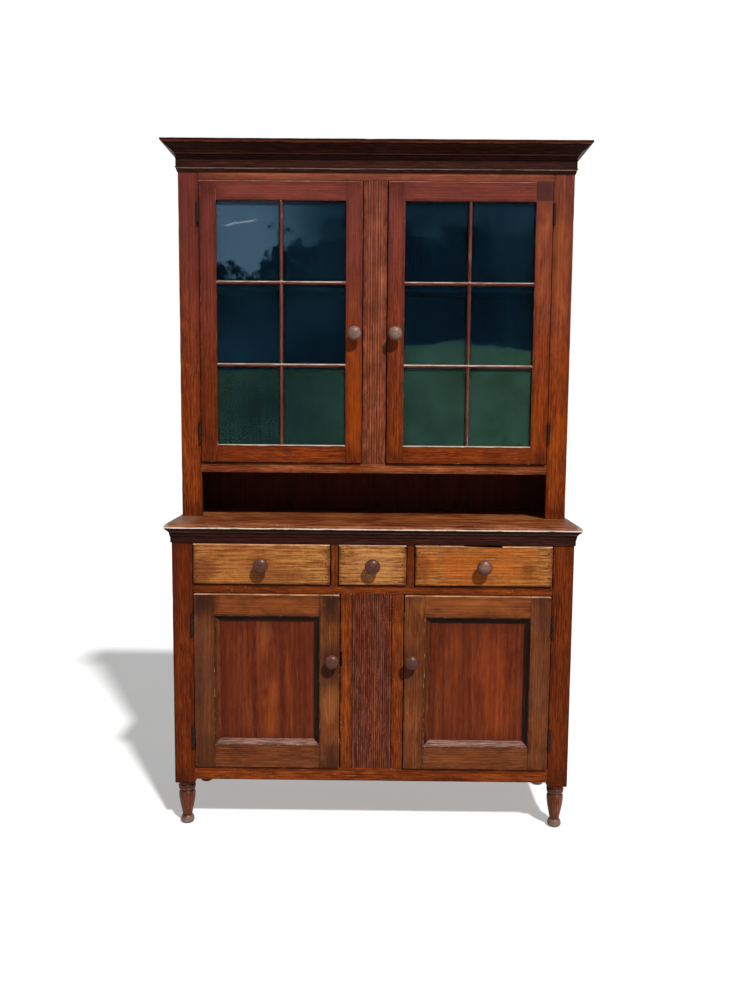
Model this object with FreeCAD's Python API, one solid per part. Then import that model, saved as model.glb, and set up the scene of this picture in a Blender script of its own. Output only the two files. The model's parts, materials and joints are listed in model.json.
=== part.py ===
"""Step back cupboard: a glazed upper case set back on a lower case with three drawers and two doors.

Millimetres, +Z up. The front faces -Y, +X is to the right of someone facing the cupboard.
The origin is on the floor, under the middle of the overall box.
Each piece is a solid of its own; parts/NODE.step holds one piece, or one set of like pieces.
"""
import FreeCAD, Part
import math
import os

# ---------------------------------------------------------------- driving dimensions
# Overall
CASE_WIDTH = 1184.0            # both cases, over the posts
LOWER_DEPTH = 372.0            # lower case, front face to back
UPPER_DEPTH = 216.0            # upper case; the difference is the step

# Boards
FRAME_THICK = 22.0             # face members of both cases
SIDE_THICK = 18.0              # upper side boards
FLOOR_THICK = 18.0             # floors
SHELF_THICK = 16.0
BACK_THICK = 14.0              # back boards
BACK_BOARDS = 4                # boards across each back
BACK_LAP = 10.0                # ship-lapped edge
BACK_JOINT = 0.8               # open joint between back boards
BACK_REBATE = 10.0             # rebate in the posts and sides that takes the back

# Posts and turned feet
POST_WIDTH = 61.0
POST_DEPTH = 58.0
FOOT_HEIGHT = 131.0            # floor to the square of the post
FOOT_CHAMFER = 4.0
FOOT_NECK_RADIUS = 25.0
FOOT_BEAD_RADIUS = 26.0
FOOT_GROOVE_RADIUS = 21.5
FOOT_VASE_RADIUS = 24.5
FOOT_ANKLE_RADIUS = 15.5
FOOT_BALL_RADIUS = 18.5
FOOT_PAD_RADIUS = 13.0         # flat that stands on the floor

# Lower case, from the floor up
BOTTOM_RAIL_UNDERSIDE = 147.0
BOTTOM_RAIL_HEIGHT = 39.5
LOWER_DOOR_HEIGHT = 529.0
DRAWER_RAIL_HEIGHT = 25.0
DRAWER_FRONT_HEIGHT = 119.5
COUNTER_RAIL_HEIGHT = 42.0     # rail above the drawers, behind the counter moulding
COUNTER_THICK = 17.0
COUNTER_OVERHANG = 20.0
COUNTER_EDGE_RADIUS = 6.0
COUNTER_COVE_PROJECTION = 13.0
COUNTER_COVE_HEIGHT = 24.0
COUNTER_COVE_LIP = 3.0         # upright edge above the cove
COUNTER_COVE_DIP = 2.4         # hollow of the cove
COUNTER_BAND_THICK = 3.0
LOWER_SHELF_RAISE = 253.5      # case floor to the top of the shelf
LOWER_SHELF_SETBACK = 70.0     # behind the case face

# Lower front, outwards from the middle
REEDED_PANEL_WIDTH = 118.0
CENTRE_STILE_WIDTH = 34.5
LOWER_REEDS = 18
LOWER_REED_DEPTH = 1.5
MIDDLE_DRAWER_WIDTH = 200.0
DIVIDER_WIDTH = 20.0
STRIKE_NOTCH_HEIGHT = 44.0
STRIKE_NOTCH_DEPTH = 4.0

# Side frames of the lower case
SIDE_RAIL_THICK = 22.0
SIDE_TOP_RAIL_HEIGHT = 90.0
SIDE_BOTTOM_RAIL_HEIGHT = 62.0
SIDE_PANEL_THICK = 9.0
SIDE_PANEL_RECESS = 9.0        # panel face behind the rail face
PANEL_GROOVE = 7.0             # depth of the groove that holds a panel

# Upper case
RECESS_HEIGHT = 137.0          # counter to the underside of the upper bottom rail
UPPER_BOTTOM_RAIL_HEIGHT = 29.5
UPPER_DOOR_HEIGHT = 840.0
UPPER_CENTRE_STILE_WIDTH = 72.0
UPPER_REEDED_WIDTH = 46.0
UPPER_REEDS = 6
UPPER_REED_DEPTH = 2.0
TOP_RAIL_HEIGHT = 87.5          # rail above the glazed doors, up to the top board
TOP_BOARD_DROP = 22.0          # top board below the top of the cornice
UPPER_SHELF_SETBACK = 62.0

# Cornice
CORNICE_PROJECTION = 44.0
CORNICE_HEIGHT = 88.0
CORNICE_LIP = 7.0              # upright edge at the very top
CORNICE_BED_HEIGHT = 45.0
CORNICE_BED_THICK = 5.5
CORNICE_BED_BEVEL = 12.0
CORNICE_BED_BEAD = 1.0         # small bead above the bevel
CORNICE_COVE_DIP = 2.6         # hollow of the cove under the crown
CORNICE_LIP_SET = 3.5          # quirk under the lip
MITRE_ALLOWANCE = 200.0        # drawn beyond each mitre, then cut off

# Doors
DOOR_THICK = 22.0
DOOR_PROUD = 7.5               # door face in front of the case face
GAP = 2.5                      # round doors and drawer fronts
LOWER_STILE_WIDTH = 60.0
LOWER_TOP_RAIL = 65.0
LOWER_BOTTOM_RAIL = 70.0
DOOR_PANEL_THICK = 9.0
DOOR_PANEL_RECESS = 11.0       # panel face behind the door face
PANEL_MOULDING_WIDTH = 17.0
PANEL_MOULDING_FILLET = 2.5    # flat beside the frame
PANEL_MOULDING_TOE = 2.0       # low edge against the panel
PANEL_MOULDING_BULGE = 1.2     # of the round between them
UPPER_STILE_WIDTH = 50.0
UPPER_TOP_RAIL = 57.0
UPPER_BOTTOM_RAIL = 54.0
TENON_THICK = 8.0
TENON_LENGTH = 32.0
TENON_SHOULDER = 8.0           # rail edge to tenon edge
PANES_WIDE = 2
PANES_HIGH = 3
MUNTIN_WIDTH = 10.0
MUNTIN_TONGUE = 3.5            # the part between two panes
MUNTIN_NOSE = 4.0              # flat on the front of a bar
MUNTIN_SET = 1.0               # face of the door to the front of a bar
MUNTIN_FLANK = 5.0             # face of the door to the end of the bevel
GLASS_THICK = 3.0
GLASS_REBATE = 6.0             # width of the rebate
GLASS_SET = 11.0               # glass face behind the door face
GLASS_PLAY = 0.6

# Butt hinges
HINGE_HEIGHT = 62.0
HINGE_FROM_DOOR_END = 92.0     # door end to the middle of the hinge
BARREL_RADIUS = 5.0
PIN_RADIUS = 2.2
PIN_CLEARANCE = 0.05
PIN_FROM_DOOR_EDGE = 4.0
PIN_FROM_CASE_FACE = 5.5
KNUCKLE_PLAY = 0.4
LEAF_THICK = 2.0
LEAF_REACH = 15.0

# Turnings, knobs and turn catches
TURNING_FLATS = 14             # sides that a turned piece is worked to
KNOB_REACH = 36.0              # from the surface to the crown of the knob
DRAWER_KNOB_RADIUS = 22.5
DOOR_KNOB_RADIUS = 21.0
KNOB_NECK_RADIUS = 9.0
SHAFT_RADIUS = 6.0
SHAFT_CLEARANCE = 0.1
TENON_SQUARE = 7.0             # square end of a shaft, in its catch
UPPER_KNOB_FROM_EDGE = 23.0    # inner edge of the door to the knob
UPPER_KNOB_RAISE = 392.0       # lower end of the door to the knob
LOWER_KNOB_FROM_EDGE = 21.5
LOWER_KNOB_RAISE = 333.0
CATCH_LENGTH = 42.0            # from the shaft to the tip
CATCH_WIDTH = 18.0
CATCH_THICK = 10.0
CATCH_TAPER = 5.0              # taken off each side at the tip
RUNNING_GAP = 0.4              # between pieces that slide past each other

# Drawers
DRAWER_PROUD = 9.0
DRAWER_FRONT_THICK = 24.0
DRAWER_EDGE_RADIUS = 5.0
DRAWER_SIDE_THICK = 12.0
DRAWER_BACK_THICK = 12.0
DRAWER_BOTTOM_THICK = 7.0
DRAWER_BOTTOM_RAISE = 9.0      # underside of the bottom above the edge of the sides
DRAWER_GROOVE = 5.0
DRAWER_HEADROOM = 5.0          # above the drawer sides
DRAWER_SIDE_SET = 0.25         # side of the box in from the end of its front
DOVETAIL_LAP = 8.0             # wood left in front of the front dovetails
DOVETAIL_PITCH = 34.0
DOVETAIL_SLOPE = 0.17
RUNNER_THICK = 18.0
RUNNER_BEARING = 26.0          # what each drawer side runs on
GUIDE_HEIGHT = 28.0
KICKER_HEIGHT = 22.0

# ---------------------------------------------------------------- places worked out from them
HALF = CASE_WIDTH / 2.0
FRONT_REACH = max(DRAWER_PROUD + KNOB_REACH, COUNTER_OVERHANG)
LOWER_FACE = (FRONT_REACH - LOWER_DEPTH) / 2.0          # front face of the lower case
CASE_BACK = LOWER_FACE + LOWER_DEPTH
UPPER_FACE = CASE_BACK - UPPER_DEPTH                    # front face of the upper case
BACK_FRONT = CASE_BACK - BACK_THICK                     # front of the back boards
OPENING_HALF = HALF - POST_WIDTH                        # between the posts, from the middle

FLOOR_TOP = BOTTOM_RAIL_UNDERSIDE + BOTTOM_RAIL_HEIGHT
LOWER_DOOR_Z = FLOOR_TOP + GAP
DRAWER_RAIL_Z = LOWER_DOOR_Z + LOWER_DOOR_HEIGHT + GAP
DRAWER_OPENING_Z = DRAWER_RAIL_Z + DRAWER_RAIL_HEIGHT
DRAWER_OPENING_TOP = DRAWER_OPENING_Z + DRAWER_FRONT_HEIGHT + 2.0 * GAP
COUNTER_Z = DRAWER_OPENING_TOP + COUNTER_RAIL_HEIGHT    # underside of the counter
COUNTER_TOP = COUNTER_Z + COUNTER_THICK
CENTRE_HALF = REEDED_PANEL_WIDTH / 2.0 + CENTRE_STILE_WIDTH

UPPER_RAIL_Z = COUNTER_TOP + RECESS_HEIGHT
UPPER_RAIL_TOP = UPPER_RAIL_Z + UPPER_BOTTOM_RAIL_HEIGHT
UPPER_DOOR_Z = UPPER_RAIL_TOP + GAP
TOP_RAIL_Z = UPPER_DOOR_Z + UPPER_DOOR_HEIGHT + GAP
CASE_TOP = TOP_RAIL_Z + TOP_RAIL_HEIGHT
OVERALL_HEIGHT = CASE_TOP + TOP_BOARD_DROP              # floor to the top of the cornice
CORNICE_Z = OVERALL_HEIGHT - CORNICE_HEIGHT
UPPER_CENTRE_HALF = UPPER_CENTRE_STILE_WIDTH / 2.0

V = FreeCAD.Vector
X_AXIS, Y_AXIS, Z_AXIS = V(1, 0, 0), V(0, 1, 0), V(0, 0, 1)
pieces = {}


# ---------------------------------------------------------------- small tools
def board(x0, x1, y0, y1, z0, z1):
    return Part.makeBox(x1 - x0, y1 - y0, z1 - z0, V(x0, y0, z0))


def outline(place, start, *steps):
    """Closed face. A step is a point for a straight edge, or a pair (middle, end) for an arc."""
    edges = []
    here = start
    for step in steps + (start,):
        if isinstance(step[0], tuple):
            middle, end = step
            edges.append(Part.Arc(place(*here), place(*middle), place(*end)).toShape())
        else:
            end = step
            if math.dist(here, end) > 1e-6:
                edges.append(Part.LineSegment(place(*here), place(*end)).toShape())
        here = end
    return Part.Face(Part.Wire(edges))


def arc_middle(a, b, bulge):
    """Middle point of an arc from a to b that stands bulge to the left of the chord."""
    dx, dy = b[0] - a[0], b[1] - a[1]
    length = math.hypot(dx, dy)
    return ((a[0] + b[0]) / 2.0 - dy / length * bulge, (a[1] + b[1]) / 2.0 + dx / length * bulge)


def ease(solid, radius, picks):
    """Round the straight edges whose middle points and directions pass the test."""
    chosen = []
    for edge in solid.Edges:
        if picks(edge.CenterOfMass, edge.tangentAt(edge.FirstParameter)):
            chosen.append(edge)
    return solid.makeFillet(radius, chosen)


def mirrored(solid):
    return solid.mirror(V(0, 0, 0), X_AXIS)


def clear_of_posts(plate):
    """The same board notched round the four posts of the lower case."""
    posts = []
    for y0, y1 in ((LOWER_FACE, LOWER_FACE + POST_DEPTH), (CASE_BACK - POST_DEPTH, CASE_BACK)):
        post = board(OPENING_HALF, HALF, y0, y1, 0.0, COUNTER_Z)
        posts += [post, mirrored(post)]
    return plate.cut(posts)


def keep(name, *solids):
    pieces[name] = list(solids)


# ---------------------------------------------------------------- joinery
def tenoned_rail(x0, x1, y0, y1, z0, z1, tenon=TENON_LENGTH):
    """Rail between two stiles with a tenon on each end, and the tenons by themselves."""
    middle = (y0 + y1) / 2.0
    shoulder = min(TENON_SHOULDER, (z1 - z0) / 4.0)
    y_low, y_high = middle - TENON_THICK / 2.0, middle + TENON_THICK / 2.0
    left = board(x0 - tenon, x0, y_low, y_high, z0 + shoulder, z1 - shoulder)
    right = board(x1, x1 + tenon, y_low, y_high, z0 + shoulder, z1 - shoulder)
    rail = board(x0, x1, y0, y1, z0, z1).fuse([left, right]).removeSplitter()
    return rail, [left, right]


def lapped_boards(x0, x1, y0, y1, z0, z1):
    """Upright back boards, ship-lapped, with an open joint between them."""
    pitch = (x1 - x0) / BACK_BOARDS
    middle = (y0 + y1) / 2.0
    boards = []
    for i in range(BACK_BOARDS):
        left = x0 + i * pitch
        right = left + pitch - (BACK_JOINT if i < BACK_BOARDS - 1 else 0.0)
        plank = board(left, right, y0, y1, z0, z1)
        if i < BACK_BOARDS - 1:
            plank = plank.cut(board(right - BACK_LAP, right, middle, y1, z0, z1))
        if i > 0:
            tongue = board(left - BACK_LAP, left, middle + BACK_JOINT / 4.0, y1, z0, z1)
            plank = plank.fuse(tongue).removeSplitter()
        boards.append(plank)
    return boards


def mitred_moulding(section, half_width, face, back):
    """Front length and two returns of a moulding round three sides of a case.

    section is a function place -> face; it is drawn as (projection, height).
    """
    reach = MITRE_ALLOWANCE
    end = half_width + reach
    front = section(lambda p, z: V(-end, face - p, z)).extrude(V(2.0 * end, 0, 0))
    side = section(lambda p, z: V(-half_width - p, face - reach, z)).extrude(V(0, back - face + reach, 0))
    plan = lambda x, y: V(x, y, 0)
    front_space = outline(plan, (-half_width, face), (half_width, face), (end, face - reach),
                          (-end, face - reach))
    side_space = outline(plan, (-half_width, face), (-half_width, back), (-end, back), (-end, face - reach))
    tall = V(0, 0, OVERALL_HEIGHT + reach)
    left = side.common(side_space.extrude(tall))
    return [front.common(front_space.extrude(tall)), left, mirrored(left)]


def mitred_frame(section, x0, x1, z0, z1, face):
    """Four mitred lengths of a moulding inside a rectangular opening.

    section is drawn as (distance in from the opening's edge, depth behind face).
    """
    width, height = x1 - x0, z1 - z0
    half = min(width, height) / 2.0
    bottom = section(lambda a, d: V(x0, face + d, z0 + a)).extrude(V(width, 0, 0))
    left = section(lambda a, d: V(x0 + a, face + d, z0)).extrude(V(0, 0, height))
    place = lambda x, z: V(x, face, z)
    deep = V(0, DOOR_THICK, 0)
    low = outline(place, (x0, z0), (x1, z0), (x1 - half, z0 + half), (x0 + half, z0 + half)).extrude(deep)
    near = outline(place, (x0, z0), (x0 + half, z0 + half), (x0 + half, z1 - half), (x0, z1)).extrude(deep)
    bottom, left = bottom.common(low), left.common(near)
    centre = V((x0 + x1) / 2.0, face, (z0 + z1) / 2.0)
    return [bottom, left, bottom.mirror(centre, Z_AXIS), left.mirror(centre, X_AXIS)]


def reeded_board(half_width, reeded_half, reeds, depth, y0, y1, z0, z1):
    """Board whose face is worked with upright reeds between two plain margins."""
    pitch = 2.0 * reeded_half / reeds
    steps = [(-reeded_half, y0)]
    for i in range(reeds):
        start = -reeded_half + i * pitch
        steps.append(((start + pitch / 2.0, y0 - depth), (start + pitch, y0)))
    steps += [(half_width, y0), (half_width, y1), (-half_width, y1)]
    return outline(lambda x, y: V(x, y, z0), (-half_width, y0), *steps).extrude(V(0, 0, z1 - z0))


# ---------------------------------------------------------------- turned pieces
def ring(place, radius, height):
    """Corners of a turning at one height, worked to flats."""
    turns = [2.0 * math.pi * (i + 0.5) / TURNING_FLATS for i in range(TURNING_FLATS)]
    return [place(radius * math.cos(turn), radius * math.sin(turn), height) for turn in turns]


def flat(corners):
    return Part.Face(Part.makePolygon(corners + corners[:1]))


def turned(place, profile):
    """Solid through the rings of a turning; profile is (radius, height) from one end to the other."""
    rings = [ring(place, radius, height) for radius, height in profile]
    faces = [flat(rings[0]), flat(rings[-1])]
    for low, high in zip(rings, rings[1:]):
        for i in range(TURNING_FLATS):
            faces.append(flat([low[i - 1], low[i], high[i], high[i - 1]]))
    solid = Part.Solid(Part.Shell(faces))
    return solid if solid.Volume > 0.0 else solid.reversed()


def turned_foot(x, y):
    """Turned foot under a post: neck, bead, groove, tapering vase and ball."""
    top, quirk = FOOT_HEIGHT, FOOT_NECK_RADIUS - 1.5
    return turned(lambda a, b, h: V(x + a, y + b, h), [
        (FOOT_PAD_RADIUS, 0.0), (FOOT_BALL_RADIUS, top * 0.05), (FOOT_BALL_RADIUS, top * 0.14),
        (FOOT_ANKLE_RADIUS, top * 0.21), (FOOT_VASE_RADIUS * 0.93, top * 0.56), (FOOT_VASE_RADIUS, top * 0.72),
        (FOOT_GROOVE_RADIUS, top * 0.80), (quirk, top * 0.84), (FOOT_BEAD_RADIUS, top * 0.89),
        (quirk, top * 0.94), (FOOT_NECK_RADIUS, top)])


def turned_knob(x, y, z, radius):
    """Mushroom knob standing on a surface at y, crown towards -Y."""
    neck = KNOB_NECK_RADIUS
    return turned(lambda a, b, h: V(x + a, y - h, z + b), [
        (neck + 2.0, 0.0), (neck, KNOB_REACH * 0.32), (radius - 2.5, KNOB_REACH * 0.52),
        (radius, KNOB_REACH * 0.64), (radius * 0.72, KNOB_REACH * 0.88), (radius * 0.35, KNOB_REACH)])


def knob_with_shaft(x, y, z, radius, shaft, tenon):
    """The same knob on a round shaft that ends in a square tenon for a catch."""
    half = TENON_SQUARE / 2.0
    spindle = Part.makeCylinder(SHAFT_RADIUS, shaft, V(x, y, z), Y_AXIS)
    square = board(x - half, x + half, y + shaft, y + shaft + tenon, z - half, z + half)
    return turned_knob(x, y, z, radius).fuse([spindle, square])


# ---------------------------------------------------------------- hinges
def butt_hinge(door_edge, side, z_middle, case_face):
    """Lift-off butt hinge at a door edge; side is -1 for a door hung on its left edge, 1 on its right.

    The case leaf has the lower knuckle with the pin riveted in it, the door leaf the upper knuckle.
    Returns case leaf, door leaf, the wood cut from the case and the wood cut from the door.
    """
    z0, z1 = z_middle - HINGE_HEIGHT / 2.0, z_middle + HINGE_HEIGHT / 2.0
    pin_x = door_edge + side * PIN_FROM_DOOR_EDGE
    pin_y = case_face - PIN_FROM_CASE_FACE
    half_play = KNUCKLE_PLAY / 2.0
    room = BARREL_RADIUS + RUNNING_GAP

    def knuckle(low, high):
        return turned(lambda a, b, h: V(pin_x + a, pin_y + b, h), [(BARREL_RADIUS, low), (BARREL_RADIUS, high)])

    def rod(radius, low, high):
        return Part.makeCylinder(radius, high - low, V(pin_x, pin_y, low))

    def plate(edge, away, reach):
        inner, outer = sorted((edge, edge + away * LEAF_THICK))
        return board(inner, outer, pin_y, pin_y + reach, z0, z1)

    def clear(low, high):
        wide = room + LEAF_THICK
        return board(pin_x - wide, pin_x + wide, pin_y - room, pin_y + room, low, high)

    case_plate = plate(door_edge + side * GAP, side, PIN_FROM_CASE_FACE + LEAF_REACH)
    door_plate = plate(door_edge, -side, LEAF_REACH)
    case_leaf = case_plate.cut(clear(z_middle - half_play, z1)).fuse(knuckle(z0, z_middle - half_play))
    door_leaf = door_plate.cut(clear(z0, z_middle + half_play)).fuse(knuckle(z_middle + half_play, z1))
    case_leaf = case_leaf.removeSplitter().fuse(rod(PIN_RADIUS, z_middle - half_play, z1))
    door_leaf = door_leaf.removeSplitter().cut(rod(PIN_RADIUS + PIN_CLEARANCE, z0, z1))
    barrel_room = board(pin_x - room, pin_x + room, pin_y - room, pin_y + room,
                        z0 - RUNNING_GAP, z1 + RUNNING_GAP)
    return case_leaf, door_leaf, case_plate, door_plate.fuse(barrel_room)


# ---------------------------------------------------------------- doors
def turn_catch(x, z, case_face):
    """Wooden catch on the knob's square tenon, hanging down behind the door: unlatched."""
    arm_front = case_face + FRAME_THICK + RUNNING_GAP
    half, square = CATCH_WIDTH / 2.0, TENON_SQUARE / 2.0
    taper = half - CATCH_TAPER
    arm = outline(lambda a, b: V(x + a, arm_front, z + b), (-half, half), (-half, -CATCH_LENGTH / 2.0),
                  (-taper, -CATCH_LENGTH), (taper, -CATCH_LENGTH), (half, -CATCH_LENGTH / 2.0), (half, half))
    hub = board(x - half, x + half, case_face - DOOR_PROUD + DOOR_THICK + RUNNING_GAP, arm_front,
                z - half, z + half)
    mortise = board(x - square, x + square, case_face, arm_front + CATCH_THICK, z - square, z + square)
    return arm.extrude(V(0, CATCH_THICK, 0)).fuse(hub).cut(mortise).removeSplitter()


def hung_door(name, side, inner_edge, outer_edge, z0, height, case_face, stile, top_rail, bottom_rail,
              knob_from_edge, knob_raise):
    """Frame, hinge leaves, knob and catch of one door, hung on its outer edge.

    Returns the frame's members, its opening (x0, x1, z0, z1), its front face, the hinge pieces that
    stay on the case and the wood that they take from it.
    """
    face = case_face - DOOR_PROUD
    back = face + DOOR_THICK
    z1 = z0 + height
    x0, x1 = sorted((side * inner_edge, side * outer_edge))
    left_stile = board(x0, x0 + stile, face, back, z0, z1)
    right_stile = board(x1 - stile, x1, face, back, z0, z1)
    rails, tenons = [], []
    for low, high in ((z0, z0 + bottom_rail), (z1 - top_rail, z1)):
        rail, ends = tenoned_rail(x0 + stile, x1 - stile, face, back, low, high)
        rails.append(rail)
        tenons += ends
    left_stile = left_stile.cut(tenons)
    right_stile = right_stile.cut(tenons)

    door_leaves, case_leaves, case_wood = [], [], []
    for middle in (z0 + HINGE_FROM_DOOR_END, z1 - HINGE_FROM_DOOR_END):
        case_leaf, door_leaf, from_case, from_door = butt_hinge(side * outer_edge, side, middle, case_face)
        case_leaves.append(case_leaf)
        door_leaves.append(door_leaf)
        case_wood.append(from_case)
        left_stile = left_stile.cut(from_door)
        right_stile = right_stile.cut(from_door)

    knob_x, knob_z = side * (inner_edge + knob_from_edge), z0 + knob_raise
    shaft = DOOR_THICK + 2.0 * RUNNING_GAP
    catch_back = case_face + FRAME_THICK + RUNNING_GAP + CATCH_THICK
    knob = knob_with_shaft(knob_x, face - RUNNING_GAP, knob_z, DOOR_KNOB_RADIUS, shaft,
                           catch_back - back - RUNNING_GAP)
    shaft_hole = Part.makeCylinder(SHAFT_RADIUS + SHAFT_CLEARANCE, DOOR_THICK, V(knob_x, face, knob_z), Y_AXIS)
    left_stile = left_stile.cut(shaft_hole)
    right_stile = right_stile.cut(shaft_hole)
    keep(name + "_hinge_leaves", *door_leaves)
    keep(name + "_knob", knob, turn_catch(knob_x, knob_z, case_face))
    frame = [left_stile, right_stile] + rails
    opening = (x0 + stile, x1 - stile, z0 + bottom_rail, z1 - top_rail)
    return frame, opening, face, case_leaves, case_wood


def panelled_door(name, side):
    frame, opening, face, hinge, wood = hung_door(
        name, side, CENTRE_HALF + GAP, OPENING_HALF - GAP, LOWER_DOOR_Z, LOWER_DOOR_HEIGHT, LOWER_FACE,
        LOWER_STILE_WIDTH, LOWER_TOP_RAIL, LOWER_BOTTOM_RAIL, LOWER_KNOB_FROM_EDGE, LOWER_KNOB_RAISE)
    x0, x1, z0, z1 = opening
    panel_face = face + DOOR_PANEL_RECESS
    panel = board(x0 - PANEL_GROOVE, x1 + PANEL_GROOVE, panel_face, panel_face + DOOR_PANEL_THICK,
                  z0 - PANEL_GROOVE, z1 + PANEL_GROOVE)
    frame = [member.cut(panel) for member in frame]

    def section(place):
        """Flat beside the frame, a step down, a round that slopes to the panel, and a low edge."""
        width, depth, toe = PANEL_MOULDING_WIDTH, DOOR_PANEL_RECESS, PANEL_MOULDING_TOE
        high, low = (PANEL_MOULDING_FILLET + 1.0, toe), (width - toe, depth - toe)
        return outline(place, (0.0, 0.5), (PANEL_MOULDING_FILLET, 0.5), high,
                       (arc_middle(high, low, PANEL_MOULDING_BULGE), low),
                       (width, depth - 0.75 * toe), (width, depth), (0.0, depth))

    keep(name + "_frame", *frame)
    keep(name + "_panel", panel)
    keep(name + "_moulding", *mitred_frame(section, x0, x1, z0, z1, face))
    return hinge, wood


def glazed_door(name, side):
    frame, opening, face, hinge, wood = hung_door(
        name, side, UPPER_CENTRE_HALF + GAP, OPENING_HALF - GAP, UPPER_DOOR_Z, UPPER_DOOR_HEIGHT, UPPER_FACE,
        UPPER_STILE_WIDTH, UPPER_TOP_RAIL, UPPER_BOTTOM_RAIL, UPPER_KNOB_FROM_EDGE, UPPER_KNOB_RAISE)
    x0, x1, z0, z1 = opening
    back = face + DOOR_THICK
    glass_face = face + GLASS_SET
    rebate = board(x0 - GLASS_REBATE, x1 + GLASS_REBATE, glass_face, back,
                   z0 - GLASS_REBATE, z1 + GLASS_REBATE)
    frame = [member.cut(rebate) for member in frame]
    pane_wide = (x1 - x0 - (PANES_WIDE - 1) * MUNTIN_WIDTH) / PANES_WIDE
    pane_high = (z1 - z0 - (PANES_HIGH - 1) * MUNTIN_WIDTH) / PANES_HIGH
    cover = (MUNTIN_WIDTH - MUNTIN_TONGUE) / 2.0

    def bar_section(place):
        """Glazing bar: bevelled face with a narrow tongue behind it."""
        half, tongue, nose = MUNTIN_WIDTH / 2.0, MUNTIN_TONGUE / 2.0, MUNTIN_NOSE / 2.0
        return outline(place, (-half, GLASS_SET), (-half, MUNTIN_FLANK), (-nose, MUNTIN_SET), (nose, MUNTIN_SET),
                       (half, MUNTIN_FLANK), (half, GLASS_SET), (tongue, GLASS_SET), (tongue, DOOR_THICK),
                       (-tongue, DOOR_THICK), (-tongue, GLASS_SET))

    uprights, bars, panes = [], [], []
    for i in range(1, PANES_WIDE):
        middle = x0 + i * (pane_wide + MUNTIN_WIDTH) - MUNTIN_WIDTH / 2.0
        uprights.append(bar_section(lambda a, d: V(middle + a, face + d, z0)).extrude(V(0, 0, z1 - z0)))
    for j in range(1, PANES_HIGH):
        middle = z0 + j * (pane_high + MUNTIN_WIDTH) - MUNTIN_WIDTH / 2.0
        whole = bar_section(lambda a, d: V(x0, face + d, middle + a)).extrude(V(x1 - x0, 0, 0))
        whole = whole.cut(uprights) if uprights else whole
        bars += whole.Solids
    for i in range(PANES_WIDE):
        for j in range(PANES_HIGH):
            left = x0 + i * (pane_wide + MUNTIN_WIDTH)
            low = z0 + j * (pane_high + MUNTIN_WIDTH)
            edges = [GLASS_REBATE if outer else cover for outer in
                     (i == 0, i == PANES_WIDE - 1, j == 0, j == PANES_HIGH - 1)]
            panes.append(board(left - edges[0] + GLASS_PLAY, left + pane_wide + edges[1] - GLASS_PLAY,
                               glass_face, glass_face + GLASS_THICK,
                               low - edges[2] + GLASS_PLAY, low + pane_high + edges[3] - GLASS_PLAY))
    keep(name + "_frame", *frame)
    keep(name + "_muntins", *(uprights + bars))
    keep(name + "_panes", *panes)
    return hinge, wood


# ---------------------------------------------------------------- drawers
def rounded_front(x0, x1, y0, y1, z0, z1, radius):
    """Board whose four front edges are rounded and meet in mitres."""
    reach = radius * (1.0 - math.sqrt(0.5))

    def profile(place, low, high):
        return outline(place, (low, y1), (low, y0 + radius), ((low + reach, y0 + reach), (low + radius, y0)),
                       (high - radius, y0), ((high - reach, y0 + reach), (high, y0 + radius)), (high, y1))

    across = profile(lambda a, y: V(a, y, z0), x0, x1).extrude(V(0, 0, z1 - z0))
    upright = profile(lambda a, y: V(x0, y, a), z0, z1).extrude(V(x1 - x0, 0, 0))
    return across.common(upright)


def dovetails(x0, x1, y_root, length, z0, z1):
    """Tails of one drawer side, narrow at the root at y_root and wider at the tip."""
    count = max(2, int(round((z1 - z0) / DOVETAIL_PITCH)))
    pitch = (z1 - z0) / count
    root = pitch * 0.27
    tip = root + abs(length) * DOVETAIL_SLOPE
    tails = []
    for i in range(count):
        middle = z0 + (i + 0.5) * pitch
        place = lambda y, z: V(x0, y, z)
        tail = outline(place, (y_root, middle - root), (y_root + length, middle - tip),
                       (y_root + length, middle + tip), (y_root, middle + root))
        tails.append(tail.extrude(V(x1 - x0, 0, 0)))
    return tails


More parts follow.
